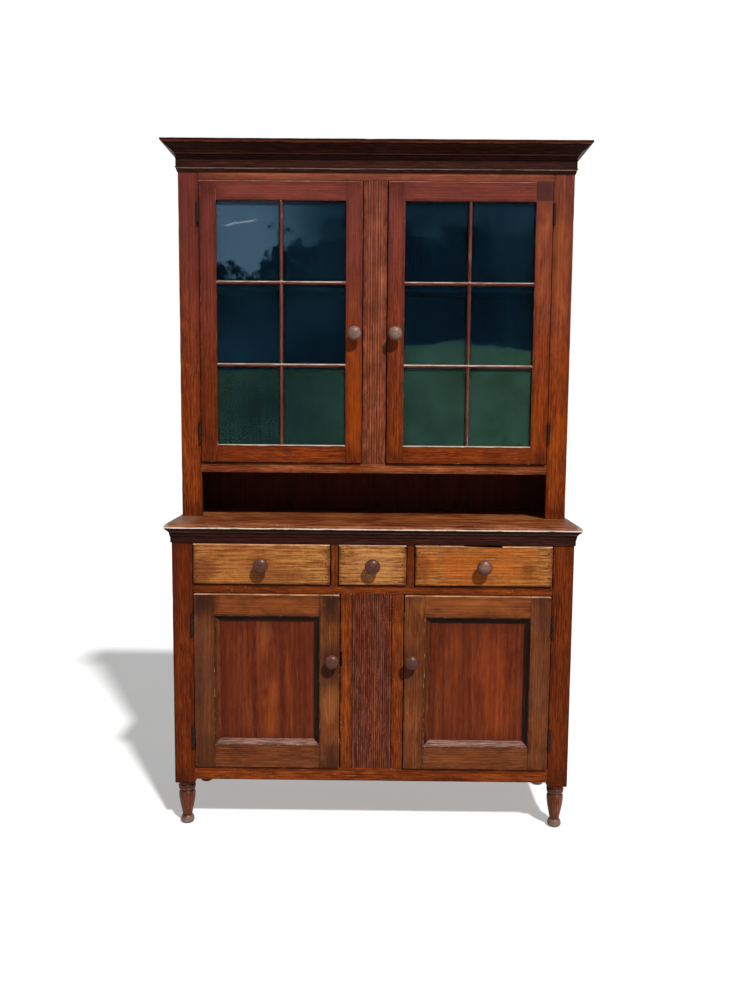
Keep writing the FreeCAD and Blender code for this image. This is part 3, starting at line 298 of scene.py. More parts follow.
def oldWood(name, base, **changes):
    # each board has grain of its own, and on it stain, grime in the corners and pale rubbed arrises
    look = dict(base, **changes)
    material, add = newMaterial(name)
    place, half, heart = (add("Attribute", attribute_name=label).outputs["Vector"]
                          for label in ("boardPlace", "boardHalf", "boardHeart"))
    room = add("TexCoord").outputs["Object"]
    shift = add("VectorMath MULTIPLY", heart, (1, 13, 17))
    grain = add("VectorMath ADD", place, shift)

    # growth rings, look["ring"] mm apart, drawn out along the board
    ringPlace = add("VectorMath MULTIPLY_ADD", place, (0.05, 1, 1), heart)
    rings = add("TexWave", {"Vector": ringPlace, "Scale": 0.314 / (look["ring"] * mm), "Distortion": look["wild"],
                            "Detail": 3.0, "Detail Scale": 0.35, "Detail Roughness": 0.55},
                wave_type="RINGS", rings_direction="X", wave_profile="SIN").outputs["Fac"]
    # noises drawn out along the grain: along, across, detail and swirl; the finest are 2 to 3 mm wide
    layers, coarse = {}, look["coarse"]
    for label, along, across, detail, swirl in (
            ("bands", 1.6, 36, 5, 0.7), ("mottle", 8, 24, 5, 0.8), ("fibres", 11, 340, 6, 0.6),
            ("streaks", 24, 540, 3, 0.2), ("curl", 170, 60, 3, 1.4), ("pores", 60, 1500, 2, 0),
            ("rub", 28, 90, 4, 0)):
        if label != "curl" or "curl" in look:     # curl: short ripples across the grain, as on figured maple
            across /= coarse
            spot = add("VectorMath MULTIPLY", grain, (along / math.sqrt(coarse), across, across))
            layers[label] = add("TexNoise", {"Vector": spot, "Scale": 1.0, "Detail": detail, "Roughness": 0.64,
                                             "Distortion": swirl})
    stainNoise, dirtNoise, speckNoise, fewNoise = (       # and noises over the whole piece
        add("TexNoise", {"Vector": room, "Scale": scale, "Detail": detail, "Roughness": rough})
        for scale, detail, rough in ((look["stainScale"], 5, 0.62), (17, 6, 0.66), (300, 1, 0.5), (14, 2, 0.5)))

    tone, total = add("Math MULTIPLY", rings, look["rings"]), look["rings"]
    for label in ("bands", "mottle", "fibres", "curl"):
        if label in look:
            tone = add("Math MULTIPLY_ADD", layers[label], look[label], tone)
            total += look[label]
    tone = add("MapRange", tone, total * 0.35, total * 0.65)
    dark, middle, light = look["wood"]
    colour = add("ValToRGB", tone, stops=[(0.0, dark), (1.0, light), (0.5, middle)])
    shade = add("MapRange", tone, 0.0, 1.0, 0.55, 1.45)

    def lay(tint, source, low, high, most, mode="SMOOTHSTEP", keepGrain=False):
        # lays a tint over the colour so far, none where source is low and most where it is high
        nonlocal colour
        if keepGrain:
            tint = add("VectorMath SCALE", {0: toLinear(tint)[:3], "Scale": shade})
        colour = add("MixRGB", add("MapRange " + mode, source, low, high, 0.0, most), colour, tint)

    for low, high, tint, most in ((0.53, 0.62, light, 0.8), (0.47, 0.37, dark, 0.85)):     # single fibres
        lay(tint, layers["streaks"], low, high, most * look["crisp"], "LINEAR")

    # stain that changes over the whole piece
    tint, most = look["stain"]
    lay(tint, stainNoise, 0.42, 0.66, most, keepGrain=True)
    axes = add("SeparateXYZ", room).outputs
    if "rise" in look:                            # a second tone that comes in towards the top
        tint, low, high, most = look["rise"]
        uneven = add("Math MULTIPLY_ADD", layers["bands"], 0.5, axes["Z"])
        lay(tint, uneven, low + 0.25, high + 0.25, most, keepGrain=True)

    # patches where hands, sun or damp changed the colour: (x, z, half width, half height, tint, most)
    flat = add("CombineXYZ", {"X": axes["X"], "Z": axes["Z"]})
    for x, z, wide, tall, tint, most in look.get("patches", []):
        away = add("VectorMath SUBTRACT", flat, (x, 0, z))
        away = add("VectorMath MULTIPLY", away, (1 / wide, 0, 1 / tall))
        away = add("VectorMath LENGTH", away)
        away = add("Math MULTIPLY_ADD", dirtNoise, -0.8, away)
        away = add("Math MULTIPLY_ADD", layers["mottle"], -1.8, away)
        lay(tint, away, -0.3, -1.1, most, keepGrain=True)

    # how far each point is from the nearest arris and from the ends
    out = add("VectorMath ABSOLUTE", place)
    left = add("VectorMath SUBTRACT", half, out)
    endGap, sideGap, faceGap = add("SeparateXYZ", left).outputs
    lower = add("Math MINIMUM", endGap, sideGap)
    upper = add("Math MAXIMUM", endGap, sideGap)
    inner = add("Math MINIMUM", upper, faceGap)
    arris = add("Math MAXIMUM", lower, inner)

    # grime at the ends and along the sides
    atEnd = add("MapRange SMOOTHSTEP", endGap, look["endReach"], 0.0)
    atSide = add("MapRange SMOOTHSTEP", sideGap, look["sideReach"], 0.0, 0.0, 0.75)
    dirty = add("Math MAXIMUM", atEnd, atSide)
    patchy = add("MapRange", dirtNoise, 0.32, 0.66, 0.15, 1.0)
    dirty = add("Math MULTIPLY", dirty, patchy)
    tint, most = look["grime"]
    colour = add("MixRGB", add("Math MULTIPLY", dirty, most, use_clamp=True), colour, tint)

    # pale wood where the arrises are rubbed through
    wearTint, most = look["wear"]
    wearFrom, wearReach = look["wearFrom"], look["wearReach"] * mm
    reach = add("MapRange", layers["rub"], wearFrom, wearFrom + 0.3, -0.4 * wearReach, wearReach, clamp=False)
    worn = add("Math SUBTRACT", reach, arris)
    worn = add("Math DIVIDE", worn, 0.5 * wearReach, use_clamp=True)
    worn = add("Math MULTIPLY", worn, most, use_clamp=True)
    colour = add("MixRGB", worn, colour, wearTint)

    # pale flecks, about 2 mm across
    few = add("Math MULTIPLY_ADD", fewNoise, 0.22, speckNoise)
    lay(wearTint, few, look["speckFrom"], look["speckFrom"] + 0.03, 0.7, "LINEAR")

    if "valley" in look:                          # dirt in the quirks beside a reed, rubbed crests
        tint, most = look["valley"]
        across = add("Math DIVIDE", sideGap, add("SeparateXYZ", half).outputs["Y"])
        low = add("MapRange SMOOTHSTEP", across, 0.7, 0.15, 0.0, most)
        filled = add("MapRange", layers["rub"], 0.58, 0.4, 0.35, 1.0)
        colour = add("MixRGB", add("Math MULTIPLY", low, filled), colour, tint)
    for height, spread, tint, most in look.get("levels", []):     # dirt or wear at fixed heights, in mm
        height, spread = height * mm, spread * mm
        away = add("Math SUBTRACT", axes["Z"], height + 1.1 * spread)
        away = add("Math MULTIPLY_ADD", dirtNoise, 2.2 * spread, away)
        away = add("Math ABSOLUTE", away)
        most = add("Math MULTIPLY", patchy, most)
        lay(tint, away, spread, spread * 0.3, most)
    for axis, start, end, tint in look.get("zones", []):          # bare wood where the paint stops
        lay(tint, axes[axis], start, end, 0.96, "LINEAR", keepGrain=True)
    if "nails" in look:                           # rusty nail heads in two lines, each with its stain
        along = add("SeparateXYZ", place).outputs["X"]
        across = add("Math SUBTRACT", sideGap, 24 * mm)
        nearest = 1.0
        for row in look["nails"]:
            away = add("CombineXYZ", add("Math SUBTRACT", along, row), across)
            away = add("VectorMath LENGTH", away)
            nearest = add("Math MINIMUM", nearest, away)
        for size, tint, most in ((16 * mm, "#2a180c", 0.6), (3.4 * mm, "#1a0f0b", 0.95)):
            lay(tint, nearest, size, size * 0.55, most)

    rough = add("MapRange", layers["fibres"], 0.3, 0.7, *look["rough"])
    rough = add("Math MULTIPLY_ADD", worn, 0.2, rough, use_clamp=True)
    relief = add("Math MULTIPLY", layers["fibres"], 0.5)
    for part, share in ((rings, 0.12), (layers["pores"], 0.3), (dirtNoise, 1.1)):
        relief = add("Math MULTIPLY_ADD", part, share, relief)
    bump = add("Bump", {"Height": relief, "Strength": 0.5, "Distance": 0.4 * mm})
    shader = add("BsdfPrincipled", {"Base Color": colour, "Roughness": rough, "Normal": bump, "IOR": 1.5,
                                    "Specular IOR Level": look["shine"]})
    add("OutputMaterial", {"Surface": shader})
    return material


print("finishes")

caseLook = {                 # pine under an old red wash and shellac: orange-brown, satin, lighter fibres
    "wood": ("#321003", "#6c2c0c", "#964a1a"), "ring": 7, "wild": 9.0, "rings": 0.1, "bands": 0.45, "mottle": 0.5,
    "fibres": 0.45, "crisp": 1.0, "coarse": 1.0, "stain": ("#52200a", 0.55), "stainScale": 3.5,
    "grime": ("#240d04", 0.75), "endReach": 0.09, "sideReach": 0.018, "wear": ("#b98259", 0.8), "wearFrom": 0.5,
    "wearReach": 2.2, "speckFrom": 0.91, "rough": (0.4, 0.6), "shine": 0.05}
caseWood = oldWood("pineRedWash", caseLook)
railWood = oldWood("pineRedWashFlecked", caseLook, speckFrom=0.84, wear=("#c99a72", 0.85), wearFrom=0.46)
upperLook = dict(caseLook, wood=("#3c1408", "#68270a", "#984612"), rise=("#66302a", 1.2, 1.95, 0.85), patches=[
    (-0.50, 1.70, 0.05, 0.5, "#4c1f1c", 0.4), (-0.50, 1.22, 0.05, 0.3, "#4a1606", 0.6),
    (0.58, 1.3, 0.05, 0.35, "#8c3c08", 0.45), (-0.06, 1.25, 0.05, 0.35, "#8c3a04", 0.5),
    (0.50, 1.25, 0.04, 0.3, "#7e3208", 0.4), (-0.56, 1.95, 0.05, 0.4, "#4e2019", 0.5),
    (0.55, 1.76, 0.09, 0.3, "#84421f", 0.65)])
upperWood = oldWood("pineRedWashFaded", upperLook)
glazedDoorLook = dict(upperLook, wearFrom=0.45, levels=[(1937.2, 2.0, "#a56a5c", 1.0)])
upperDoorWood = oldWood("pineGlazedDoor", glazedDoorLook)
darkEndWood = oldWood("pineGlazedDoorDarkEnd", glazedDoorLook, zones=[("Z", 1.8825, 1.8855, "#44241f")])
glazedRailWood = oldWood("pineGlazedRail", upperLook, wear=("#a79a8e", 0.95), wearFrom=0.4,
                         levels=[(1152, 3.0, "#b3a698", 1.9)])
topRailWood = oldWood("pineRedWashRubbed", upperLook, wood=("#4c1e0c", "#824020", "#ac6840"),
                      rise=("#7a4034", 1.2, 1.95, 0.6))
muntinWood = oldWood(
    "pineMuntinRubbed", upperLook, wood=("#4a2018", "#6c3a2e", "#8b5e50"), rise=("#6a3a34", 1.2, 1.95, 0.5),
    patches=[], wear=("#a8958a", 0.9), wearFrom=0.4, wearReach=3.6,
    levels=[(1397.6, 3.0, "#b5a296", 1.6), (1644.0, 3.0, "#b5a296", 1.6)])
postLook = dict(caseLook, wood=("#300e02", "#582007", "#7c3612"), stain=("#451707", 0.5))
lowerPostWood = oldWood("pineRedWashDark", postLook)
footWood = oldWood(
    "pineTurnedFoot", postLook, wood=("#401a0c", "#663018", "#875038"), wear=("#a88a78", 0.8),
    rough=(0.28, 0.45), shine=0.12, levels=[
        (105, 4, "#150703", 1.3), (123.4, 3, "#150703", 1.2), (129, 7, "#2a1009", 0.7),
        (110, 1.6, "#8a6a5c", 0.7), (11, 17, "#745f52", 1.3), (7, 1.6, "#3c2c22", 0.8),
        (15, 1.6, "#46342a", 0.7), (26, 3, "#2c170e", 0.9), (0.0, 4, "#3a2c24", 1.0)])
wornDoorWood = oldWood(
    "pineWornByHands", caseLook, wood=("#381a0b", "#5a2c15", "#804d2b"), stain=("#683418", 0.5), stainScale=6.0,
    bands=0.5, mottle=0.55, fibres=0.35, crisp=0.65, grime=("#2c170e", 0.75), endReach=0.05, sideReach=0.014,
    wear=("#bd9670", 0.85), wearFrom=0.45, wearReach=3.0, levels=[(717.5, 2.4, "#b0805c", 1.2)], patches=[
        (-0.32, 0.69, 0.26, 0.05, "#7c3e1a", 0.6), (0.32, 0.69, 0.26, 0.05, "#80441e", 0.6),   # rails in the light
        (-0.505, 0.45, 0.05, 0.3, "#4b2a1c", 0.65), (0.50, 0.45, 0.05, 0.3, "#5f361e", 0.5),   # hinge stiles
        (-0.50, 0.70, 0.06, 0.08, "#2e1810", 0.9), (-0.125, 0.69, 0.04, 0.08, "#2c170f", 0.9),   # dark corners
        (-0.125, 0.50, 0.05, 0.09, "#3a1e12", 0.8), (0.115, 0.50, 0.04, 0.1, "#46261a", 0.7),    # by the knobs
        (-0.12, 0.22, 0.04, 0.07, "#33190f", 0.8), (0.505, 0.66, 0.04, 0.09, "#40221a", 0.6),
        (-0.5, 0.24, 0.06, 0.09, "#3c2013", 0.6), (-0.12, 0.38, 0.03, 0.08, "#7c4826", 0.6)])
brownMouldingLook = dict(caseLook, wood=("#3a2018", "#7a5244", "#a8857a"), bands=0.9, mottle=0.1, fibres=0.7,
                         stain=("#6a4438", 0.5), grime=("#180b07", 0.6), wear=("#c4aea6", 0.85), wearFrom=0.4)
paleMouldingWood = oldWood("pineMouldingRubbed", brownMouldingLook)
redMouldingWood = oldWood("pineMouldingRed", brownMouldingLook, wood=("#301409", "#54260f", "#77401f"),
                          stain=("#4a2010", 0.5), wear=("#a5826c", 0.85), wearFrom=0.42)
grimyMouldingWood = oldWood("pineMouldingGrimy", brownMouldingLook, wood=("#100604", "#23120c", "#3a221a"),
                            stain=("#1c0d08", 0.6), wear=("#6a4c42", 0.6))
panelWood = oldWood(
    "pinePanelRed", caseLook, wood=("#3a140b", "#59230f", "#74371a"), ring=14, wild=8.0, bands=0.9, mottle=0.4,
    fibres=0.35, crisp=0.6, stain=("#46190c", 0.5), grime=("#2e100a", 0.7), sideReach=0.05, endReach=0.07,
    speckFrom=0.9, patches=[
        (-0.305, 0.36, 0.03, 0.12, "#8c4418", 0.4), (-0.315, 0.58, 0.025, 0.08, "#7a4424", 0.4),
        (-0.43, 0.45, 0.05, 0.25, "#4a1a0c", 0.5), (-0.19, 0.5, 0.04, 0.2, "#4e1d0e", 0.5),
        (0.28, 0.45, 0.02, 0.3, "#451608", 0.4), (0.37, 0.45, 0.08, 0.25, "#7c3214", 0.4)])
drawerWood = oldWood(
    "mapleDrawerFront", caseLook, wood=("#4a230c", "#875024", "#b8854a"), ring=11, wild=26.0, rings=0.22, bands=0.3,
    mottle=0.45, fibres=0.6, curl=0.4, stain=("#86481e", 0.55), grime=("#2f1508", 0.95), endReach=0.016,
    sideReach=0.008, wear=("#d0ab80", 0.85), wearFrom=0.42, levels=[(866.4, 2.0, "#c08c6c", 1.0)], patches=[
        (0.33, 0.81, 0.3, 0.09, "#9a4c14", 0.7), (0.0, 0.81, 0.12, 0.06, "#b0784a", 0.5),
        (-0.50, 0.79, 0.05, 0.06, "#5a2c14", 0.7), (-0.26, 0.775, 0.12, 0.03, "#6a3a1c", 0.6),
        (0.46, 0.80, 0.04, 0.04, "#4e2408", 0.6), (0.15, 0.80, 0.03, 0.06, "#5c2a0c", 0.6)])
counterWood = oldWood(       # drawn coarse, as it is mostly seen at a low angle
    "pineCounterTop", caseLook, wood=("#2c0e03", "#622a0f", "#a0663a"), grime=("#240d06", 0.5),
    stain=("#45190c", 0.5), wear=("#bd9f8b", 0.9), wearFrom=0.42, wearReach=4, speckFrom=0.84, ring=8, bands=0.7,
    mottle=0.3, fibres=0.6, coarse=4.0, levels=[(914.4, 3.6, "#d6bfb0", 1.9)], patches=[
        (-0.57, 0.925, 0.05, 0.05, "#7c5a48", 0.5), (0.595, 0.925, 0.03, 0.03, "#6e5044", 0.6),
        (-0.612, 0.92, 0.02, 0.03, "#9a8c80", 0.8), (0.612, 0.92, 0.02, 0.03, "#9a8c80", 0.8)])
mouldingWood = oldWood(
    "poplarMouldingDark", caseLook, wood=("#140603", "#29110b", "#45231a"), bands=1.0, mottle=0.15, fibres=0.9,
    stain=("#280f0b", 0.5), grime=("#0d0503", 0.6), wear=("#6c3a2a", 0.7), wearFrom=0.46, levels=[
        (2042.6, 2.4, "#7c3e26", 1.5), (2015.5, 2.2, "#5c2c22", 1.2), (1973.6, 1.7, "#8c7064", 1.6),
        (903, 2.2, "#6c5448", 0.9)])
reedWood = oldWood("pineReededRed", caseLook, wood=("#44180e", "#6c2f1e", "#965a40"), valley=("#1f0804", 0.95),
                   speckFrom=0.84, wear=("#b98f78", 0.8), grime=("#240c08", 0.6))
upperReedWood = oldWood("pineReededUpper", upperLook, wood=("#602612", "#96492c", "#b87250"), patches=[],
                        rise=("#8c4c3c", 1.2, 1.95, 0.7), valley=("#3a1408", 0.75), speckFrom=0.86)
pineLook = dict(caseLook, wood=("#7d5228", "#a2743d", "#c39456"), stain=("#83562c", 0.5), grime=("#472810", 0.7),
                wear=("#d8b98a", 0.6), rough=(0.6, 0.8))
insidePine = oldWood("pineBareOld", pineLook)
# inside the glazed case: old deep blue milk paint, bare smoked boards below the case floor and bare pine behind
paintedLook = dict(caseLook, wood=("#081a26", "#0f2c3e", "#1a4053"), fibres=0.3, stain=("#0b2534", 0.5),
                   grime=("#071219", 0.7), wear=("#8f8a78", 0.8), rough=(0.6, 0.8),
                   zones=[("Z", 1.081, 1.080, "#4c2316"), ("Y", 0.1972, 0.1976, "#7a5732")])
darkInside = oldWood("pineBluePaintInside", paintedLook)
upperBackWood = oldWood("pineBackBoardsUpper", paintedLook, nails=(-0.535, -0.41, -0.105, 0.14, 0.52))
lowerBackWood = oldWood("pineBackBoardsLower", pineLook, wood=("#5c3d20", "#7f5a34", "#9e7546"),
                        nails=(-0.355, -0.03, 0.35))
knobLook = dict(
    caseLook, wood=("#2c130b", "#522a20", "#7e5244"), ring=6, wild=4.0, rings=0.05, bands=0.3, mottle=0.6,
    fibres=0.3, stain=("#623c30", 0.6), stainScale=34.0, grime=("#26110a", 0.5), wear=("#a07c6a", 0.5),
    rough=(0.3, 0.42), shine=0.2, patches=[
        (-0.33, 0.81, 0.03, 0.03, "#4a261a", 0.7), (0.33, 0.81, 0.03, 0.03, "#8a6456", 0.7),
        (-0.118, 0.522, 0.03, 0.03, "#4e281e", 0.7), (0.118, 0.522, 0.03, 0.03, "#4e281e", 0.7)])
knobWood = oldWood("mapleKnobBrown", knobLook)
paleKnobWood = oldWood("mapleKnobWornPale", knobLook, wood=("#523629", "#7c5e50", "#a48a7a"),
                       stain=("#866c5c", 0.6))


def crusted(name, look):
    # a blotched crust with relief all over
    material, add = newMaterial(name)
    room = add("TexCoord").outputs["Object"]
    blotch = add("TexNoise", {"Vector": room, "Scale": look["scale"], "Detail": 6.0, "Roughness": 0.7})
    colour = add("ValToRGB", blotch, stops=look["stops"])
    metal, rough = 0.0, 0.85
    if "skin" in look:                            # metal shows between the blotches
        metal = add("MapRange", blotch, 0.35, 0.62, look["skin"], 0.0)
        rough = add("MapRange", blotch, 0.3, 0.7, 0.5, 0.85)
    bump = add("Bump", {"Height": blotch, "Strength": 0.6, "Distance": look["relief"]})
    shader = add("BsdfPrincipled", {"Base Color": colour, "Metallic": metal, "Roughness": rough, "Normal": bump,
                                    "Specular IOR Level": look["shine"]})
    add("OutputMaterial", {"Surface": shader})
    return material


def drawnGlass(name, look):
    # old drawn window glass, clear and dark before the unlit inside, under a thin film that is seen as a bloom
    material, add = newMaterial(name)
    room = add("TexCoord").outputs["Object"]
    x, y, z = add("SeparateXYZ", room).outputs
    ragged, cloud, scratchy, few = (
        add("TexNoise", {"Vector": room, "Scale": scale, "Detail": detail, "Roughness": rough})
        for scale, detail, rough in ((9, 9, 0.7), (3, 4, 0.55), (55, 6, 0.75), (8, 2, 0.5)))

    # a stronger bloom in the upper left, with a ragged lower edge
    edge = add("Math MULTIPLY_ADD", ragged, 0.46, z)
    edge = add("Math SUBTRACT", edge, add("MapRange", x, -0.48, -0.08, 1.90, 2.02))
    upper = add("MapRange SMOOTHSTEP", edge, -0.008, 0.02)
    upper = add("Math MULTIPLY", upper, add("MapRange SMOOTHSTEP", x, -0.12, -0.36, 0.12, 1.0))
    colour = add("MixRGB", upper, *look["blue"])
    # and a green one over the lower panes, higher on the right
    edge = add("Math MULTIPLY_ADD", cloud, 0.07, z)
    edge = add("Math MULTIPLY_ADD", ragged, 0.09, edge)
    edge = add("Math SUBTRACT", edge, add("MapRange", x, -0.05, 0.05, 1.468, 1.532))
    lower = add("MapRange SMOOTHSTEP", edge, 0.006, -0.006)
    colour = add("MixRGB", lower, colour, add("ValToRGB", ragged, stops=look["green"]))
    bloom = add("Math MULTIPLY", upper, look["upper"])
    bloom = add("Math MULTIPLY_ADD", lower, add("MapRange", x, -0.3, 0.4, *look["lower"]), bloom)
    haze = add("MapRange SMOOTHSTEP", cloud, 0.44, 0.68, 0.0, look["haze"])

    wiped = add("VectorMath MULTIPLY", room, (9, 9, 34))                   # dust left by wiping
    wiped = add("TexNoise", {"Vector": wiped, "Scale": 1.0, "Detail": 9.0, "Roughness": 0.75})
    wiped = add("MapRange", wiped, 0.58, 0.72, 0.0, look["dust"])
    smear = add("Math MULTIPLY_ADD", x, -0.176, z)                         # one pale smear wiped across a pane
    smear = add("Math SUBTRACT", smear, 1.8885)
    smear = add("Math MULTIPLY_ADD", scratchy, 0.03, smear)
    smear = add("Math SUBTRACT", smear, 0.015)
    smear = add("Math ABSOLUTE", smear)
    smear = add("MapRange", smear, 0.0035, 0.0004, 0.0, look["smear"])
    for start, end in ((-0.472, -0.43), (-0.348, -0.37)):
        smear = add("Math MULTIPLY", smear, add("MapRange", x, start, end))
    scuffs = add("VectorMath MULTIPLY", room, (60, 60, 150))               # and a few small scuffs
    scuffs = add("TexNoise", {"Vector": scuffs, "Scale": 1.0, "Detail": 4.0, "Roughness": 0.7,
                              "Distortion": 0.8})
    scuffs = add("MapRange", scuffs, 0.6, 0.7, 0.0, look["scuffs"])
    few = add("MapRange", few, 0.5, 0.62)
    smear = add("Math MULTIPLY_ADD", scuffs, few, smear)
    for more in (haze, wiped, smear):
        bloom = add("Math ADD", bloom, more)
    pale = add("Math MULTIPLY", smear, 5.0, use_clamp=True)
    colour = add("MixRGB", pale, colour, "#c8d4dc")

    glass = add("BsdfPrincipled", {"Base Color": look["clear"], "Roughness": 0.03, "IOR": 1.5,
                                   "Transmission Weight": 1.0, "Specular IOR Level": 0.3,
                                   "Specular Tint": (0.02, 0.06, 0.1, 1.0)})
    film = add("BsdfPrincipled", {"Base Color": colour, "Roughness": 0.8, "Specular IOR Level": 0.0})
    add("OutputMaterial", {"Surface": add("MixShader", bloom, glass, film)})
    return material


# wrought iron butts, brown with rust over a dark skin, a little gloss
ironRust = crusted("ironRustedHinge", {
    "scale": 240.0, "stops": [(0.3, "#0c0706"), (0.72, "#3a2218"), (0.5, "#1a100c")], "skin": 0.6,
    "relief": 0.3 * mm, "shine": 0.15})
# linseed putty gone hard and grey, with chalky patches and fine cracks
greyPutty = crusted("puttyDriedGrey", {
    "scale": 90.0, "stops": [(0.3, "#6b6252"), (0.7, "#aca28c"), (0.5, "#8e8472")], "relief": 0.5 * mm,
    "shine": 0.1})
windowGlass = drawnGlass("glassDrawnOld", {
    "clear": "#b3cbd2", "blue": ("#5390ad", "#769cba"), "green": [(0.35, "#446644"), (0.65, "#66967c")],
    "upper": 0.15, "lower": (0.046, 0.145), "haze": 0.022, "dust": 0.045, "smear": 0.16, "scuffs": 0.09})
print("finishes done")

print("boards")


def camel(node):
    first, *rest = node.split("_")
    return first + "".join(word.capitalize() for word in rest)


def seedOf(text):
    return sum((i + 1) * ord(letter) for i, letter in enumerate(text)) % 977


bodyOf = {node: body for body, nodes in frame["record"]["behaviour"]["bodies"].items() for node in nodes}


def replaceNode(node, chunks, finish, smooth=None):
    makePiece(camel(node), bodyOf[node], chunks, finish, [node], smooth)


def dress(node, finish, edges, smooth=None, **more):
    # a node's boards, each with grain and wear of its own
    chunks = [agedBoard(solid, edges, seedOf(node) + 31 * i, **more) for i, solid in enumerate(solidsOf(node))]
    replaceNode(node, chunks, finish, smooth)


plainEdge = {"ease": 0.8 * mm, "step": 24 * mm, "reach": 5 * mm, "rub": 0.35 * mm, "chip": 1.2 * mm}
wornEdge = {"ease": 1.2 * mm, "step": 14 * mm, "reach": 7 * mm, "rub": 0.6 * mm, "chip": 1.8 * mm, "from": 0.28}
insideEdge = {"ease": 0.6 * mm}
boards = [                   # nodes, finish, edges
    ("counter_rail drawer_dividers", caseWood, plainEdge),
    ("bottom_rail centre_stiles drawer_rail", railWood, plainEdge),
    ("upper_top_rail upper_bottom_rail", topRailWood, plainEdge),
    ("side_rails side_panels", lowerPostWood, plainEdge),
    ("upper_corner_stiles upper_side_left upper_side_right", upperWood, plainEdge),
    ("lower_back_boards", lowerBackWood, insideEdge),
    ("upper_back_boards", upperBackWood, plainEdge),
    ("lower_floor lower_shelf drawer_runners drawer_kickers upper_top_board", insidePine, insideEdge),
    ("left_drawer_box middle_drawer_box right_drawer_box", insidePine, insideEdge),
    ("upper_floor upper_shelves", darkInside, plainEdge),
    ("lower_left_door_panel lower_right_door_panel", panelWood, insideEdge),
]
for nodes, finish, edges in boards:
    for node in nodes.split():
        dress(node, finish, edges)

# mouldings keep their sections, with smooth coves
mouldingEdge = {"ease": 0, "step": 16 * mm, "reach": 4 * mm, "rub": 0.5 * mm, "chip": 1.6 * mm, "from": 0.3}
caseHalf, lowerFace, upperFace = 592 * mm, -163.5 * mm, -7.5 * mm
quirks = {                   # grooves cut along the mouldings: height, half width and depth in mm
    "cornice_bed": [(1976.5, 1.5, 1.6), (2001, 1.6, 1.4)],
    "cornice_crown": [(2012, 1.6, 1.8), (2019, 1.3, 1.3), (2040, 1.6, 2.2)],
    "counter_moulding": [(887.5, 1.4, 1.2), (897, 1.0, 0.8)],
}
flare = {"from": 900 * mm, "to": 912 * mm, "out": 4.6 * mm}      # the counter moulding under the counter's edge


def runMoulding(face, grooves, flared, place):
    # moves a corner of a moulding square to the case, so that the mitres stay shut
    out = -sum(depth * max(0.0, 1 - abs(place.z - height) / wide) for height, wide, depth in grooves)
    if flared:
        out += flare["out"] * max(0.0, (place.z - flare["from"]) / (flare["to"] - flare["from"])) ** 1.5
    if place.y < face - 2 * mm:
        place.y -= out
    if abs(place.x) > caseHalf + 2 * mm:
        place.x += math.copysign(out, place.x)
    return place


for node, grooves in quirks.items():
    onCounter = node == "counter_moulding"
    grooves = [[size * mm for size in groove] for groove in grooves]
    cuts = [(2, height + side * wide) for height, wide, depth in grooves for side in (-1, 0, 1)]
    cuts += [(2, flare["from"] + 4 * mm * i) for i in range(3)] if onCounter else []
    move = partial(runMoulding, lowerFace if onCounter else upperFace, grooves, onCounter)
    dress(node, mouldingWood, mouldingEdge, smooth=26, shape=(cuts, move))
for node in ("lower_left_door_moulding", "lower_right_door_moulding"):
    low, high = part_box(node)
    finishes = []
    for corners, faces in solidsOf(node):         # grimy on top and on the right, rubbed pale at the bottom
        centre, half = measure(corners)
        level = half[0] > half[2]
        grimy = centre[2] > (low.z + high.z) / 2 if level else centre[0] > (low.x + high.x) / 2
        finishes.append(grimyMouldingWood if grimy else paleMouldingWood if level else redMouldingWood)
    dress(node, finishes, dict(mouldingEdge, step=None), smooth=26)

# the counter board has the hardest wear along its front arris
counterEdge = {"ease": 1.2 * mm, "step": 7 * mm, "reach": 9 * mm, "rub": 0.8 * mm, "chip": 2.2 * mm, "often": 26,
               "from": 0.26}
thumbnail = {"wide": 18 * mm, "drop": 12.5 * mm, "cuts": (1, 3, 6, 10, 14, 18)}
counterLow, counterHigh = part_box("counter_top")


def roundOver(place):
    # the top curves down to a thin lip along the front and both ends
    inward = max(0.0, min(place.y - counterLow.y, counterHigh.x - abs(place.x)))
    if inward < thumbnail["wide"] and place.z > counterLow.z + 0.5 * mm:
        drop = thumbnail["drop"] * (1 - math.sqrt(1 - (1 - inward / thumbnail["wide"]) ** 2))
        thick = counterHigh.z - counterLow.z
        place.z = counterLow.z + (place.z - counterLow.z) * (thick - drop) / thick
    return place


counterCuts = []
for inward in thumbnail["cuts"]:
    inward *= mm
    counterCuts += [(1, counterLow.y + inward), (0, counterLow.x + inward), (0, counterHigh.x - inward)]
counterBoard = agedBoard(solidsOf("counter_top")[0], counterEdge, 5, shape=(counterCuts, roundOver))
replaceNode("counter_top", [counterBoard], counterWood, smooth=30)

# door frames: square stiles and rails with soft outer corners
for door in ("lower_left", "lower_right", "upper_left", "upper_right"):
    node, upper = door + "_door_frame", door.startswith("upper")
    low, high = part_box(node)
    rounding = {"at": [(x, z) for x in (low.x, high.x) for z in (low.z, high.z)],
                "radius": (1.5 if upper else 4.0) * mm}
    finish = wornDoorWood
    if upper:                                     # the bottom rails are the palest along the glass
        finish = [darkEndWood if min(c[0] for c in corners) > 0.45 else
                  upperDoorWood if max(c[2] for c in corners) > 1.3 else glazedRailWood
                  for corners, faces in solidsOf(node)]
    dress(node, finish, plainEdge if upper else wornEdge, corner=rounding)
for side in ("left", "right"):
    dress("upper_" + side + "_door_muntins", muntinWood, {"ease": 0.8 * mm})

